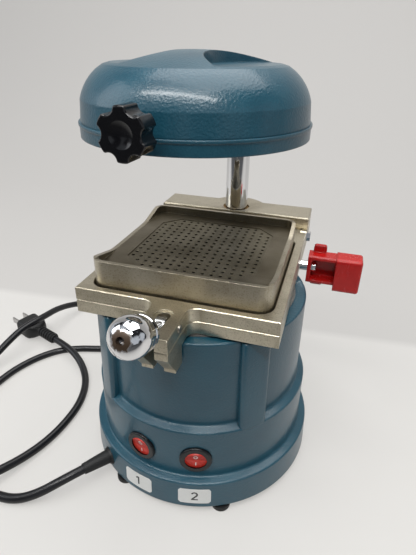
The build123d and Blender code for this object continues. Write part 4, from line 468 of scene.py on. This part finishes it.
ball_chrome = Finish("ball_chrome")
where = ball_chrome.place()
away = ball_chrome.node(
    "VectorMath", {"operation": "DISTANCE"}, {0: where, 1: tuple(socket_mouth)}, output="Value"
)
patches = ball_chrome.noise(where, 420.0, detail=4.0)
grime = ball_chrome.ramp(1.15 - away / GRIME_REACH + (patches - 0.5) * 0.9, 0.2, 0.45)
smears = ball_chrome.ramp(ball_chrome.noise(where, 150.0, detail=4.0), 0.52, 0.8)
ball_chrome.set(
    Base_Color=ball_chrome.mix(grime, BALL_CHROME, GRIME),
    Roughness=0.03 + smears * 0.12 + grime * 0.35,
    Metallic=1.0 - grime * 0.6,
)
print("grime round", [round(coordinate, 4) for coordinate in socket_mouth])

# %% [markdown]
# ## Plain metals, ceramic, rubber and plastic
# Screws, pins and the parts inside the body only need their material's colour, a fine grain and a little
# unevenness. So do the rubber and black plastic pieces, and one function makes them all.

# %% Fine-grained finishes
FINE_GRAIN = 500.0
SLOW_DRIFT = FINE_GRAIN / 12
ROUGHNESS_DRIFT = 0.14


def fine_grained(name, low, high, roughness, metallic=0.0, relief=0.03, **constants):
    """A finish whose colour and roughness drift over a fine grain. Relief is in millimetres."""
    finish = Finish(name, Metallic=metallic, **constants)
    grain = finish.noise(finish.place(), FINE_GRAIN, detail=3.0)
    drift = finish.noise(finish.place(), SLOW_DRIFT, detail=3.0)
    finish.set(
        Base_Color=finish.mix(grain * 0.5 + drift * 0.5, low, high),
        Roughness=roughness + (drift - 0.5) * ROUGHNESS_DRIFT,
        Normal=finish.bump(grain, relief * MM, 0.5),
    )
    return finish


steel = fine_grained("turned_steel", (0.42, 0.41, 0.40), (0.62, 0.61, 0.60), 0.30, 1.0)
dark_steel = fine_grained("blackened_steel", (0.05, 0.05, 0.05), (0.16, 0.15, 0.14), 0.38, 1.0)
bronze = fine_grained("bearing_bronze", (0.42, 0.26, 0.11), (0.62, 0.42, 0.20), 0.35, 1.0)
aluminium = fine_grained("cast_aluminium", (0.52, 0.52, 0.52), (0.70, 0.70, 0.70), 0.42, 1.0, relief=0.08)
wire = fine_grained("oxidised_wire", (0.16, 0.13, 0.12), (0.34, 0.29, 0.26), 0.5, 1.0)
ceramic = fine_grained("fired_ceramic", (0.66, 0.60, 0.50), (0.84, 0.79, 0.70), 0.75, relief=0.12)
blacking = fine_grained("black_sheet_paint", (0.012, 0.012, 0.012), (0.03, 0.03, 0.03), 0.5)
seal = fine_grained("silicone_seal", (0.10, 0.095, 0.09), (0.16, 0.15, 0.14), 0.6)
rubber = fine_grained(
    "black_rubber", (0.006, 0.006, 0.006), (0.016, 0.016, 0.016), 0.5, relief=0.06, Specular_IOR_Level=0.35
)
sheath = fine_grained(
    "cord_sheath", (0.004, 0.004, 0.005), (0.010, 0.010, 0.012), 0.30, relief=0.05, Specular_IOR_Level=0.4
)
moulding = fine_grained(
    "black_moulding", (0.004, 0.004, 0.005), (0.011, 0.011, 0.012), 0.24, relief=0.02, Specular_IOR_Level=0.4
)
knob_gloss = fine_grained(
    "knob_phenolic", (0.003, 0.003, 0.004), (0.007, 0.007, 0.008), 0.16, relief=0.01, Specular_IOR_Level=0.45
)
print("finishes so far:", len([material for material in bpy.data.materials if material.use_nodes]))

# %% [markdown]
# ## Red plastics
# The handle is dipped in soft red vinyl: glossy, with a slightly uneven skin. The rockers are clear red
# polycarbonate over a lamp, duller and pebbled from inside. Light sinks into both, so a little subsurface
# keeps them warm in the shade.

# %% Red plastics
VINYL_RED, VINYL_BRIGHT = (0.36, 0.006, 0.006), (0.50, 0.012, 0.010)
LENS_BRIGHT, LENS_RED = (0.62, 0.040, 0.022), (0.44, 0.018, 0.012)
DIPPED_EDGE = 1.2 * MM

vinyl = Finish(
    "red_vinyl",
    Subsurface_Weight=0.05, Subsurface_Radius=(3 * MM, 0.6 * MM, 0.4 * MM), Specular_IOR_Level=0.4,
)
waves = vinyl.noise(vinyl.place(), 160.0, detail=3.0)
scuffs = vinyl.ramp(vinyl.noise(vinyl.place(stretch=(1, 1, 0.2)), 700.0, detail=4.0), 0.56, 0.72)
vinyl.set(
    Base_Color=vinyl.mix(waves, VINYL_RED, VINYL_BRIGHT),
    Roughness=0.20 + scuffs * 0.16,
    Normal=vinyl.bump(waves, 0.2 * MM, 0.3, over=vinyl.soft_edges(DIPPED_EDGE)),
)

lens_red = Finish(
    "rocker_polycarbonate",
    Subsurface_Weight=0.15, Subsurface_Radius=(2 * MM, 0.4 * MM, 0.3 * MM), Specular_IOR_Level=0.4,
)
pebbles = lens_red.node("TexVoronoi", {}, {"Vector": lens_red.place(), "Scale": 1100.0})
lens_red.set(
    Base_Color=lens_red.mix(pebbles, LENS_BRIGHT, LENS_RED),
    Roughness=0.3 + pebbles * 0.15,
    Normal=lens_red.bump(pebbles, 0.06 * MM, 0.35),
)
print("red plastics:", vinyl.material.name, lens_red.material.name)

# %% [markdown]
# ## The bolt's thread
# A rolled thread of 1 mm pitch is too fine to model on a piece this small, and it would have to be a helix.
# Bands along the bolt's axis, as a bump, read as a thread from any side. A Mapping node turns Object
# coordinates until their z axis lies along the bolt, and a mask keeps the eye smooth.

# %% Threaded steel
THREAD_PITCH = 1.0 * MM
THREAD_START = 7.0 * MM
THREAD_DEPTH = 0.45 * MM

thread = Finish("threaded_steel", Metallic=1.0, Base_Color=(0.62, 0.62, 0.62, 1))
from_eye = thread.axis(thread.place(centre=tuple(BOLT_PIVOT * MM), turn=(math.pi / 2 - BOLT_LIFT, 0, 0)), 2)
ridges = from_eye.math("PINGPONG", from_eye, THREAD_PITCH / 2) / (THREAD_PITCH / 2)
shank = thread.ramp(from_eye / THREAD_START, 0.9, 1.0)
wear = thread.noise(thread.place(), 300.0, detail=3.0)
thread.set(Roughness=0.16 + wear * 0.16, Normal=thread.bump(ridges * shank, THREAD_DEPTH, 0.9))
print("thread pitch", THREAD_PITCH / MM, "mm")

# %% [markdown]
# ## Give each solid its finish
# A solid whose shape is right stays, and only its material slots change.

# %% Finishes of the solids
finishes = {
    paint: ("base_housing", "head_rim", "head_cover"),
    plates: ("lower_frame", "upper_frame", "carriage_block"),
    pan_metal: ("vacuum_pan",),
    screen_metal: ("perforated_plate",),
    chrome: ("column", "handle_rod", "hinge_nuts"),
    ball_chrome: ("ball_nut",),
    thread: ("swing_bolt",),
    steel: (
        "cover_screws", "column_nut", "column_collar", "motor_can", "motor_bearings", "motor_stator",
        "motor_shaft", "motor_rotor", "impeller_nut", "pan_screws", "block_screws", "bolt_pin", "plug_blades",
    ),
    dark_steel: ("hinge_pin",),
    bronze: ("carriage_bushes", "hub_bush", "switch_terminals"),
    aluminium: ("fan_cover", "fan_case", "motor_end_plate", "impeller", "reflector_plate"),
    ceramic: ("heater_plate", "coil_terminals"),
    blacking: ("bottom_cover",),
    rubber: ("rubber_feet", "rest_ring", "cord_gland", "plug_body", "suction_sleeve"),
    seal: ("frame_seal", "pan_gasket"),
    moulding: ("switch_bezel_left", "switch_bezel_right", "gland_nut"),
    knob_gloss: ("star_knob",),
    vinyl: ("side_handle",),
    lens_red: ("rocker_left", "rocker_right"),
    wire: ("heating_coil",),
    sheath: ("power_cord",),
}
for finish, names in finishes.items():
    for name in names:
        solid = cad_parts[name]
        solid.data.materials.clear()
        solid.data.materials.append(finish.material)
cord.data.materials.append(sheath.material)
bare = sorted(set(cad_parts) - {name for names in finishes.values() for name in names})
print("solids without a finish:", bare)

# %% [markdown]
# ## The heating wire
# The element under the head is resistance wire wound into a long thin spring, laid in four turns of a flat
# spiral. That follows a rule from end to end, so Geometry Nodes can make it: a spiral, resampled finely,
# whose points are pushed round a small circle as they go along it, then given the wire's thickness. The sizes
# are inputs of the tree, so the same tree would wind another element.


# %% Helpers for geometry trees
def new_tree(name, sizes):
    """Geometry tree with named size inputs. Returns it with the sockets of its inputs and its output node."""
    tree = bpy.data.node_groups.new(name, "GeometryNodeTree")
    tree.interface.new_socket("Geometry", in_out="INPUT", socket_type="NodeSocketGeometry")
    tree.interface.new_socket("Geometry", in_out="OUTPUT", socket_type="NodeSocketGeometry")
    for label, kind in sizes.items():
        tree.interface.new_socket(label, in_out="INPUT", socket_type="NodeSocket" + kind)
    return tree, tree.nodes.new("NodeGroupInput").outputs, tree.nodes.new("NodeGroupOutput")


def add(tree, kind, inputs=None, operation=None, output=0):
    """Add a node to a tree, with a value or a socket for each input. Returns the socket of one output."""
    made = tree.nodes.new(kind)
    if operation:
        made.operation = operation
    for key, value in (inputs or {}).items():
        if isinstance(value, bpy.types.NodeSocket):
            tree.links.new(value, made.inputs[key])
        else:
            made.inputs[key].default_value = value
    return made.outputs[output]


def run_tree(name, tree, sizes, finish):
    """Evaluate a tree with these sizes on an empty mesh, and return what it makes as a plain mesh."""
    carrier = bpy.data.objects.new(name + "_maker", bpy.data.meshes.new(name + "_start"))
    bpy.context.scene.collection.objects.link(carrier)
    modifier = carrier.modifiers.new("maker", "NODES")
    modifier.node_group = tree
    sockets = {item.name: item.identifier for item in tree.interface.items_tree if item.in_out == "INPUT"}
    for label, value in {**sizes, "Material": finish.material}.items():
        modifier[sockets[label]] = value
    mesh = plain_mesh(carrier)
    carrier.modifiers.remove(modifier)
    bpy.data.objects.remove(carrier)
    return mesh


print("geometry-tree helpers ready")

# %% The spiral that the wire follows
MATHS, VECTORS = "ShaderNodeMath", "ShaderNodeVectorMath"
element_tree, sizes, result = new_tree("wound_element", {
    "Turns": "Float", "Outer radius": "Float", "Inner radius": "Float", "Winding radius": "Float",
    "Winding pitch": "Float", "Wire radius": "Float", "Points": "Int", "Material": "Material",
})
spiral = add(element_tree, "GeometryNodeCurveSpiral", {
    "Resolution": 64, "Rotations": sizes["Turns"], "Start Radius": sizes["Outer radius"],
    "End Radius": sizes["Inner radius"], "Height": 0.0,
})
fine_spiral = add(element_tree, "GeometryNodeResampleCurve", {"Curve": spiral, "Count": sizes["Points"]})
print("inputs of the tree:", [socket.name for socket in sizes if socket.name])

# %% Push its points round a small circle
distance = add(element_tree, "GeometryNodeSplineParameter", output="Length")
windings = add(element_tree, MATHS, {0: distance, 1: sizes["Winding pitch"]}, "DIVIDE")
phase = add(element_tree, MATHS, {0: windings, 1: 2 * math.pi}, "MULTIPLY")
sine = add(element_tree, MATHS, {0: phase}, "SINE")
cosine = add(element_tree, MATHS, {0: phase}, "COSINE")
tangent = add(element_tree, "GeometryNodeInputTangent")
across = add(element_tree, VECTORS, {0: tangent, 1: (0, 0, 1)}, "CROSS_PRODUCT")
aside = add(element_tree, VECTORS, {0: across, "Scale": cosine}, "SCALE")
upward = add(element_tree, "ShaderNodeCombineXYZ", {"Z": sine})
circled = add(element_tree, VECTORS, {0: aside, 1: upward}, "ADD")
offset = add(element_tree, VECTORS, {0: circled, "Scale": sizes["Winding radius"]}, "SCALE")
wound = add(element_tree, "GeometryNodeSetPosition", {"Geometry": fine_spiral, "Offset": offset})
print("nodes so far:", len(element_tree.nodes))

# %% Give it the wire's thickness
section = add(
    element_tree, "GeometryNodeCurvePrimitiveCircle", {"Resolution": 5, "Radius": sizes["Wire radius"]}
)
round_wire = add(
    element_tree, "GeometryNodeCurveToMesh", {"Curve": wound, "Profile Curve": section, "Fill Caps": True}
)
real = add(element_tree, "GeometryNodeRealizeInstances", {"Geometry": round_wire})
dressed = add(element_tree, "GeometryNodeSetMaterial", {"Geometry": real, "Material": sizes["Material"]})
element_tree.links.new(dressed, result.inputs["Geometry"])
print("nodes of the tree:", len(element_tree.nodes))

# %% Wind the element under the head
HEAD_SWING = math.radians(-3.5)
COLUMN_TO_AXIS = 100.4
coil_low, coil_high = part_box("heating_coil")
element_mesh = run_tree("wound_element", element_tree, {
    "Turns": 4.0, "Outer radius": 50 * MM, "Inner radius": 18 * MM, "Winding radius": 1.55 * MM,
    "Winding pitch": 2.6 * MM, "Wire radius": 0.4 * MM, "Points": 3300,
}, wire)
# The head swings about the column, so its middle stands a little to the side of the body's axis.
swung = Vector((math.sin(HEAD_SWING), 1 - math.cos(HEAD_SWING), 0)) * COLUMN_TO_AXIS + BODY_AXIS
element_mesh.transform(
    Matrix.Translation(swung * MM + Vector((0, 0, (coil_low.z + coil_high.z) / 2)))
    @ Matrix.Rotation(HEAD_SWING, 4, "Z")
)
element = keep("wound_element", element_mesh, "head")
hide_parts("heating_coil")

# %% [markdown]
# ## Small flat pieces: labels and marks
# The two white labels and the marks on the rockers are thin flat shapes laid on a surface. Each is drawn in
# its own plane, in millimetres, then carried onto the piece by a function that says where a point (x, y) of
# the drawing lands and which way is out. The same helper makes a label that bends round the ring and a mark
# on a tilted rocker. A drawing is a list of shapes, each with its points and its faces.


# %% Lay a drawing on a piece
def outward_mesh(name, work, finish):
    """Mesh of a finished bmesh, with its faces turned outwards."""
    bmesh.ops.recalc_face_normals(work, faces=work.faces)
    mesh = bpy.data.meshes.new(name)
    work.to_mesh(mesh)
    work.free()
    mesh.materials.append(finish.material)
    return mesh


def thin_piece(name, drawing, lay, thick, finish, body):
    """Prism over a drawing. lay(x, y, height) says where a drawn point lands, this high above the surface."""
    work = bmesh.new()
    for points, faces in drawing:
        low = [work.verts.new(lay(x, y, 0) * MM) for x, y in points]
        high = [work.verts.new(lay(x, y, thick) * MM) for x, y in points]
        edges = set()
        for face in faces:
            work.faces.new([high[i] for i in face])
            work.faces.new([low[i] for i in reversed(face)])
            edges.update(zip(face, face[1:] + face[:1]))
        # An edge that no second face runs along, the other way, is part of the rim.
        for a, b in sorted(edges):
            if (b, a) not in edges:
                work.faces.new((low[a], low[b], high[b], high[a]))
    return keep(name, outward_mesh(name, work, finish), body)


print("thin-piece helper ready")


# %% Shapes to draw with
def rounded_sheet(width, height, corner, across=16, up=8):
    """Grid of points over a rectangle whose corners are rounded."""
    points = []
    for j in range(up + 1):
        y = (j / up - 0.5) * height
        over = max(abs(y) - (height / 2 - corner), 0)
        half = width / 2 - corner + math.sqrt(max(corner**2 - over**2, 0))
        points += [((2 * i / across - 1) * half, y) for i in range(across + 1)]
    row = across + 1
    corners = [j * row + i for j in range(up) for i in range(across)]
    return [(points, [[k, k + 1, k + 1 + row, k + row] for k in corners])]


def ring(outer, inner, y_stretch, sides=28):
    """Flat ring, stretched to be taller than wide."""
    circle = [(math.sin(2 * math.pi * i / sides), math.cos(2 * math.pi * i / sides)) for i in range(sides)]
    points = [(x * radius, y * radius * y_stretch) for radius in (outer, inner) for x, y in circle]
    faces = [[i, sides + i, sides + (i + 1) % sides, (i + 1) % sides] for i in range(sides)]
    return [(points, faces)]


def stroke(line, width):
    """Ribbon of even width along a line of points."""
    points = []
    for i, (x, y) in enumerate(line):
        before, after = line[max(i - 1, 0)], line[min(i + 1, len(line) - 1)]
        dx, dy = after[0] - before[0], after[1] - before[1]
        reach = width / 2 / math.hypot(dx, dy)
        points += [(x - dy * reach, y + dx * reach), (x + dy * reach, y - dx * reach)]
    return [(points, [[2 * i, 2 * i + 1, 2 * i + 3, 2 * i + 2] for i in range(len(line) - 1)])]


def shifted(drawing, dx, dy):
    """The same drawing, moved."""
    return [([(x + dx, y + dy) for x, y in points], faces) for points, faces in drawing]


print("shapes ready: sheet, ring, stroke")

# %% [markdown]
# ## Labels on the ring
# The ring leans in by under a millimetre over its height, so a label's points are laid on a cone: an angle
# round the body and a height give the place. Each label carries a plain number, drawn in strokes of a pen.

# %% White labels
RING_FOOT, RING_HEIGHT = 5.8, 23.0
RING_FOOT_RADIUS, RING_TOP_RADIUS = 90.4, 89.5
RING_LEAN = (RING_FOOT_RADIUS - RING_TOP_RADIUS) / RING_HEIGHT
LABEL_WIDTH, LABEL_HEIGHT, LABEL_CORNER = 24.0, 14.5, 1.6
LABEL_MIDDLE = 16.7
LABEL_THICKNESS = 0.12
INK_THICKNESS = 0.04
GLUE = 0.02  # gap that keeps a thin piece off the surface below it


def on_ring(middle_angle, lift=0.0):
    """Lays a drawing on the ring, centred at an angle."""

    def lay(x, y, height):
        z = LABEL_MIDDLE + y
        radius = RING_FOOT_RADIUS - RING_LEAN * (z - RING_FOOT) + GLUE + lift + height
        angle = math.radians(middle_angle) + x / RING_FOOT_RADIUS
        return Vector((radius * math.cos(angle), radius * math.sin(angle), z)) + BODY_AXIS

    return lay


paper = fine_grained("label_film", (0.62, 0.62, 0.60), (0.76, 0.76, 0.74), 0.4, relief=0.02)
ink = fine_grained("label_ink", (0.010, 0.010, 0.010), (0.022, 0.022, 0.022), 0.45)
stem, flag, foot = [(0.5, -3.8), (0.5, 3.8)], [(-1.7, 2.0), (-0.2, 3.3)], [(-2.5, -3.3), (2.5, -3.3)]
bow = [(2.0 * math.sin(math.radians(t)), 1.8 + 2.0 * math.cos(math.radians(t))) for t in range(-75, 126, 20)]
figure_one = stroke(stem, 1.3) + stroke(flag, 1.1)
figure_two = stroke(bow + [(-1.6, -2.7)], 1.2) + stroke(foot, 1.1)
for side, middle_angle, figure in (("left", -104.4, figure_one), ("right", -76.0, figure_two)):
    thin_piece(
        f"label_{side}", rounded_sheet(LABEL_WIDTH, LABEL_HEIGHT, LABEL_CORNER), on_ring(middle_angle),
        LABEL_THICKNESS, paper, "base",
    )
    thin_piece(
        f"label_figure_{side}", figure, on_ring(middle_angle, LABEL_THICKNESS),
        INK_THICKNESS, ink, "base",
    )

# %% [markdown]
# ## Pilasters on the body
# Four flat ribs stand over the recessed panels and carry the lower body's radius up to the top. The solid has
# the rear right one, so the other three are made here. Each is a stack of outlines in plan: two rounded
# corners and an arc between them, drawn in a little at the top. A helper joins such a stack into a closed
# skin, and the plug further down uses it too.


# %% A skin over a stack of outlines
def skin(name, rows, finish, body, crease=40):
    """Closed mesh over rows of points, in millimetres, that run round a piece from one end to the other."""
    work = bmesh.new()
    made_rows = [[work.verts.new(Vector(point) * MM) for point in row] for row in rows]
    for low, high in zip(made_rows, made_rows[1:]):
        for i in range(len(low)):
            k = (i + 1) % len(low)
            work.faces.new((low[i], low[k], high[k], high[i]))
    work.faces.new(made_rows[0])
    work.faces.new(made_rows[-1])
    mesh = outward_mesh(name, work, finish)
    shade_smooth(mesh)
    mesh.set_sharp_from_angle(angle=math.radians(crease))
    return keep(name, mesh, body)


print("skin helper ready")

# %% Pilasters
PILASTER_FOOT, PILASTER_TOP = 72.0, 142.3
PILASTER_FOOT_RADIUS, PILASTER_TOP_RADIUS = 83.22, 81.5
PILASTER_LEAN = (PILASTER_FOOT_RADIUS - PILASTER_TOP_RADIUS) / (PILASTER_TOP - PILASTER_FOOT)
PILASTER_HALF = math.radians(7.5)
CORNER_ROUND = 3.0
TOP_ROUND = 1.2
LEDGE_ROOT, PANEL_ROOT = 79.8, 75.4  # how far in a rib reaches, under the ledge's edge and under the panel
PILASTERS = {"front_right": -47.5, "front_left": -132.5, "rear_left": 132.5}


def pilaster_outline(middle, z, root, inset):
    """Plan of a pilaster at one height: from one root round both corners to the other root."""
    outside = PILASTER_FOOT_RADIUS - PILASTER_LEAN * max(z - PILASTER_FOOT, 0) - inset
    half = PILASTER_HALF - inset / outside
    turns = [math.radians(15 * k) for k in range(7)]
    near = [
        (outside - CORNER_ROUND * (1 - math.sin(t)), half - CORNER_ROUND * (1 - math.cos(t)) / outside)
        for t in turns
    ]
    arc = [(outside, near[-1][1] * (1 - 2 * k / 10)) for k in range(1, 10)]
    far = [(radius, -angle) for radius, angle in reversed(near)]
    return [
        BODY_AXIS + Vector((radius * math.cos(middle + angle), radius * math.sin(middle + angle), z))
        for radius, angle in [(root, half)] + near + arc + far + [(root, -half)]
    ]


levels = [(PILASTER_FOOT + rise, LEDGE_ROOT, 0) for rise in (-1.6, 0)]
levels += [(PILASTER_FOOT + rise, PANEL_ROOT, 0) for rise in (2.5, 25, 50)]
levels += [
    (PILASTER_TOP - TOP_ROUND * (1 - math.sin(t)), PANEL_ROOT, TOP_ROUND * (1 - math.cos(t)))
    for t in (math.pi / 8 * k for k in range(5))
]
for place_name, degrees in PILASTERS.items():
    rows = [pilaster_outline(math.radians(degrees), *level) for level in levels]
    skin(f"pilaster_{place_name}", rows, paint, "base")

# %% [markdown]
# ## The plug
# A moulded plug is a soft block with a ribbed boot behind it, so that the cord doesn't kink. Its section goes
# from a circle at the boot to a rounded rectangle at the face. A superellipse is one formula for both: with a
# power of 2 it is a circle, and with a higher one its corners fill out.

# %% Sections of the plug
BOOT_CORE, BOOT_RIB = 9.4, 11.6
BOOT_START, RIB_PITCH, RIBS = 2.0, 4.0, 6
RIB_PROFILE = ((0.0, BOOT_CORE), (0.5, BOOT_RIB), (2.2, BOOT_RIB), (2.7, BOOT_CORE))
BLOCK_START = 26.0
PLUG_SINK, SINK_LENGTH = 1.3, 10.0

# Each section has its distance from the boot's tip, its width, its thickness and its power.
plug_sections = [(0.0, 9.2, 9.2, 2)]
for rib in range(RIBS):
    plug_sections += [(BOOT_START + rib * RIB_PITCH + step, wide, wide, 2) for step, wide in RIB_PROFILE]
plug_sections += [
    (BLOCK_START, 11.0, 10.5, 2.2), (28.0, 15.5, 13.5, 2.8), (31.5, 21.0, 16.5, 3.6), (36.0, 25.0, 18.6, 4.5),
    (41.0, 25.6, 19.0, 5), (47.0, 24.6, 18.6, 5), (52.5, 25.6, 19.0, 5), (53.6, 25.0, 18.4, 5),
    (54.0, 23.6, 17.0, 5),
]
print("sections of the plug:", len(plug_sections))


# %% Mould the plug
def plug_outline(along, width, thick, power):
    """Superellipse across the plug, this far from the boot's tip. It sinks to the bench as it widens."""
    across = Vector((plug_aim.y, -plug_aim.x, 0))
    sink = PLUG_SINK * min(max((along - BLOCK_START) / SINK_LENGTH, 0), 1)
    middle = PLUG_TIP + BODY_AXIS + plug_aim * along - Vector((0, 0, sink))
    points = []
    for degrees in range(0, 360, 10):
        c, s = math.cos(math.radians(degrees)), math.sin(math.radians(degrees))
        x = math.copysign(abs(c) ** (2 / power), c) * width / 2
        z = math.copysign(abs(s) ** (2 / power), s) * thick / 2
        points.append(middle + across * x + Vector((0, 0, z)))
    return points


plug_rows = [plug_outline(*section) for section in plug_sections]
plug = skin("mains_plug", plug_rows, rubber, "base", crease=60)
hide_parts("plug_body")

# %% [markdown]
# ## Marks on the rockers
# Each rocker is a ball cut by two shallow planes that meet in a crease. O stands on the upper plane and I on
# the lower, printed in white. They ride on the rocker, so they tilt with it.

# %% Rocker marks
SWITCH_PIVOT_RADIUS = 79.9
SWITCH_HEIGHT = 47.5
CREASE = 3.6
PLANE_TILT = math.radians(8)
REST_TILT = math.radians(8)
MARK_THICKNESS = 0.06
MARK_FROM_CREASE = 3.9
SWITCHES = {"left": -104.3, "right": -75.7}
white_print = fine_grained("white_print", (0.66, 0.64, 0.62), (0.80, 0.78, 0.76), 0.45)


def on_rocker(angle, side_of_crease):
    """Lays a drawing on the upper (1) or lower (-1) plane of a rocker: y is up the plane, from the crease."""
    out = Vector((math.cos(angle), math.sin(angle), 0))
    across = Vector((-math.sin(angle), math.cos(angle), 0))
    tilt = Matrix.Rotation(REST_TILT, 3, across)
    ahead, upward = tilt @ out, tilt @ Vector((0, 0, 1))
    slope = upward * math.cos(PLANE_TILT) + ahead * math.sin(PLANE_TILT) * side_of_crease
    normal = ahead * math.cos(PLANE_TILT) - upward * math.sin(PLANE_TILT) * side_of_crease
    crease = BODY_AXIS + out * SWITCH_PIVOT_RADIUS + Vector((0, 0, SWITCH_HEIGHT)) + ahead * CREASE
    return lambda x, y, height: crease + across * x + slope * y + normal * (height + GLUE)


MARKS = {"off": (ring(1.55, 1.0, 1.4), 1), "on": (stroke([(0, 1.6), (0, -1.6)], 0.65), -1)}
for side, degrees in SWITCHES.items():
    for state, (drawing, side_of_crease) in MARKS.items():
        thin_piece(
            f"mark_{state}_{side}", shifted(drawing, 0, MARK_FROM_CREASE * side_of_crease),
            on_rocker(math.radians(degrees), side_of_crease),
            MARK_THICKNESS, white_print, f"rocker_{side}",
        )

# %% [markdown]
# ## Stage
# The bench and the wall are one pale sweep with a large radius. A soft change of tone across it, a little
# slanted, stands for the line where the bench meets the wall. Camera, glossy and transmitted rays see the sweep
# partly self-lit, which keeps it pale without more light on the machine, and it still takes the shadow. To
# all rays but the camera's it is darker, and nearly black in front of the bench's edge, because polished metal
# needs something dark to mirror.

# %% Sweep
SWEEP_HALF = 3.0
SWEEP_START = 0.55
SWEEP_RADIUS = 0.8
SWEEP_TOP = 3.0
SWEEP_STEPS = 24
profile = [(-SWEEP_HALF, 0.0), (SWEEP_START, 0.0)]
profile += [
    (SWEEP_START + SWEEP_RADIUS * math.sin(a), SWEEP_RADIUS * (1 - math.cos(a)))
    for a in (math.pi / 2 * i / SWEEP_STEPS for i in range(1, SWEEP_STEPS + 1))
]
profile.append((SWEEP_START + SWEEP_RADIUS, SWEEP_TOP))
corners = [(x, y, z) for y, z in profile for x in (-SWEEP_HALF, SWEEP_HALF)]
strips = [(2 * i, 2 * i + 1, 2 * i + 3, 2 * i + 2) for i in range(len(profile) - 1)]
sweep_mesh = bpy.data.meshes.new("sweep")
sweep_mesh.from_pydata(corners, [], strips)
shade_smooth(sweep_mesh)
sweep = bpy.data.objects.new("sweep", sweep_mesh)
bpy.context.scene.collection.objects.link(sweep)
print("sweep faces:", len(sweep_mesh.polygons))

# %% Tones of the sweep
BENCH_TONE, BENCH_PALE = (0.67, 0.655, 0.63), (0.715, 0.70, 0.675)
WALL_TONE = (0.59, 0.575, 0.555)
UNLIT = (0.05, 0.05, 0.052)
WALL_START = 0.160
WALL_SLANT = 0.078
WALL_BLUR = 0.014
BENCH_EDGE = 0.40
BENCH_BLUR = 0.25
SELF_LIT = 0.62
MIRRORED_SELF_LIT = 0.5
GLOW = 0.98

board = Finish("pale_board", Roughness=0.7)
where = board.place()
board_x, board_y = board.axis(where, 0), board.axis(where, 1)
wall = board.ramp((board_y - board_x * WALL_SLANT - WALL_START) / WALL_BLUR, 0.0, 1.0)
bench = board.mix(board.noise(where, 9.0, detail=4.0), BENCH_TONE, BENCH_PALE)
tone = board.mix(wall, bench, WALL_TONE)
behind_edge = board.ramp((board_y + BENCH_EDGE) / BENCH_BLUR, 0.0, 1.0)
camera_ray, glossy_ray, through_ray = (
    board.node("LightPath", output=f"Is {kind} Ray") for kind in ("Camera", "Glossy", "Transmission")
)
board.set(Base_Color=board.mix((1 - camera_ray) * (1 - behind_edge * 0.75), tone, UNLIT))
glow = board.node("Emission", {}, {"Color": tone, "Strength": GLOW})
self_lit = camera_ray * SELF_LIT + (glossy_ray + through_ray) * behind_edge * MIRRORED_SELF_LIT
look = board.node("MixShader", {}, {0: self_lit, 1: Value(board, board.shader.outputs[0]), 2: glow})
board.feed(board.tree.nodes["Material Output"].inputs["Surface"], look)
sweep_mesh.materials.append(board.material)
print("board nodes:", len(board.tree.nodes))

# %% [markdown]
# ## Light
# Chrome shows the whole room, so the world has one: a wide noise of dark and bright patches stands for
# furniture and windows. The camera itself sees a plain pale world. A long thin lamp above the front draws the
# band of light on the head, a soft one stands for a window on the left, and a large one lights from above.

# %% World
PATCH_SCALE = 1.9
DARK_PATCH, BRIGHT_PATCH = (0.035, 0.036, 0.040), (0.80, 0.85, 0.92)
PLAIN_WORLD = (0.62, 0.61, 0.60)
WORLD_STRENGTH = 0.60

world = bpy.data.worlds.new("studio")
bpy.context.scene.world = world
world.use_nodes = True
room = Nodes(world.node_tree)
patches = room.noise(room.node("TexCoord", output="Generated"), PATCH_SCALE)
shades = room.ramp(patches, 0.44, 0.58, DARK_PATCH, BRIGHT_PATCH)
camera_ray = room.node("LightPath", output="Is Camera Ray")
background = world.node_tree.nodes["Background"]
room.feed(background.inputs["Color"], room.mix(camera_ray, shades, PLAIN_WORLD))
background.inputs["Strength"].default_value = WORLD_STRENGTH
print("world nodes:", len(world.node_tree.nodes))

# %% Lamps
LIT_POINT = Vector((0, 0, 0.15))
# Each lamp has its place and size in metres, its watts and its tint.
LAMPS = {
    "tube_above": ((-0.05, -0.55, 1.05), (1.1, 0.10), 9.0, (1.0, 0.99, 0.97)),
    "window_left": ((-1.3, -0.4, 0.9), (0.9, 1.1), 6.0, (0.94, 0.97, 1.0)),
    "ceiling": ((0.15, 0.30, 1.8), (1.8, 1.6), 30.0, (1.0, 1.0, 1.0)),
}
for name, (place, size, watts, tint) in LAMPS.items():
    lamp = bpy.data.lights.new(name, "AREA")
    lamp.shape = "RECTANGLE"
    lamp.size, lamp.size_y = size
    lamp.energy = watts
    lamp.color = tint
    holder = bpy.data.objects.new(name, lamp)
    holder.location = place
    holder.rotation_euler = (LIT_POINT - Vector(place)).to_track_quat("-Z", "Y").to_euler()
    bpy.context.scene.collection.objects.link(holder)

bpy.context.scene.view_settings.view_transform = "Standard"
print("lamps:", len(LAMPS))
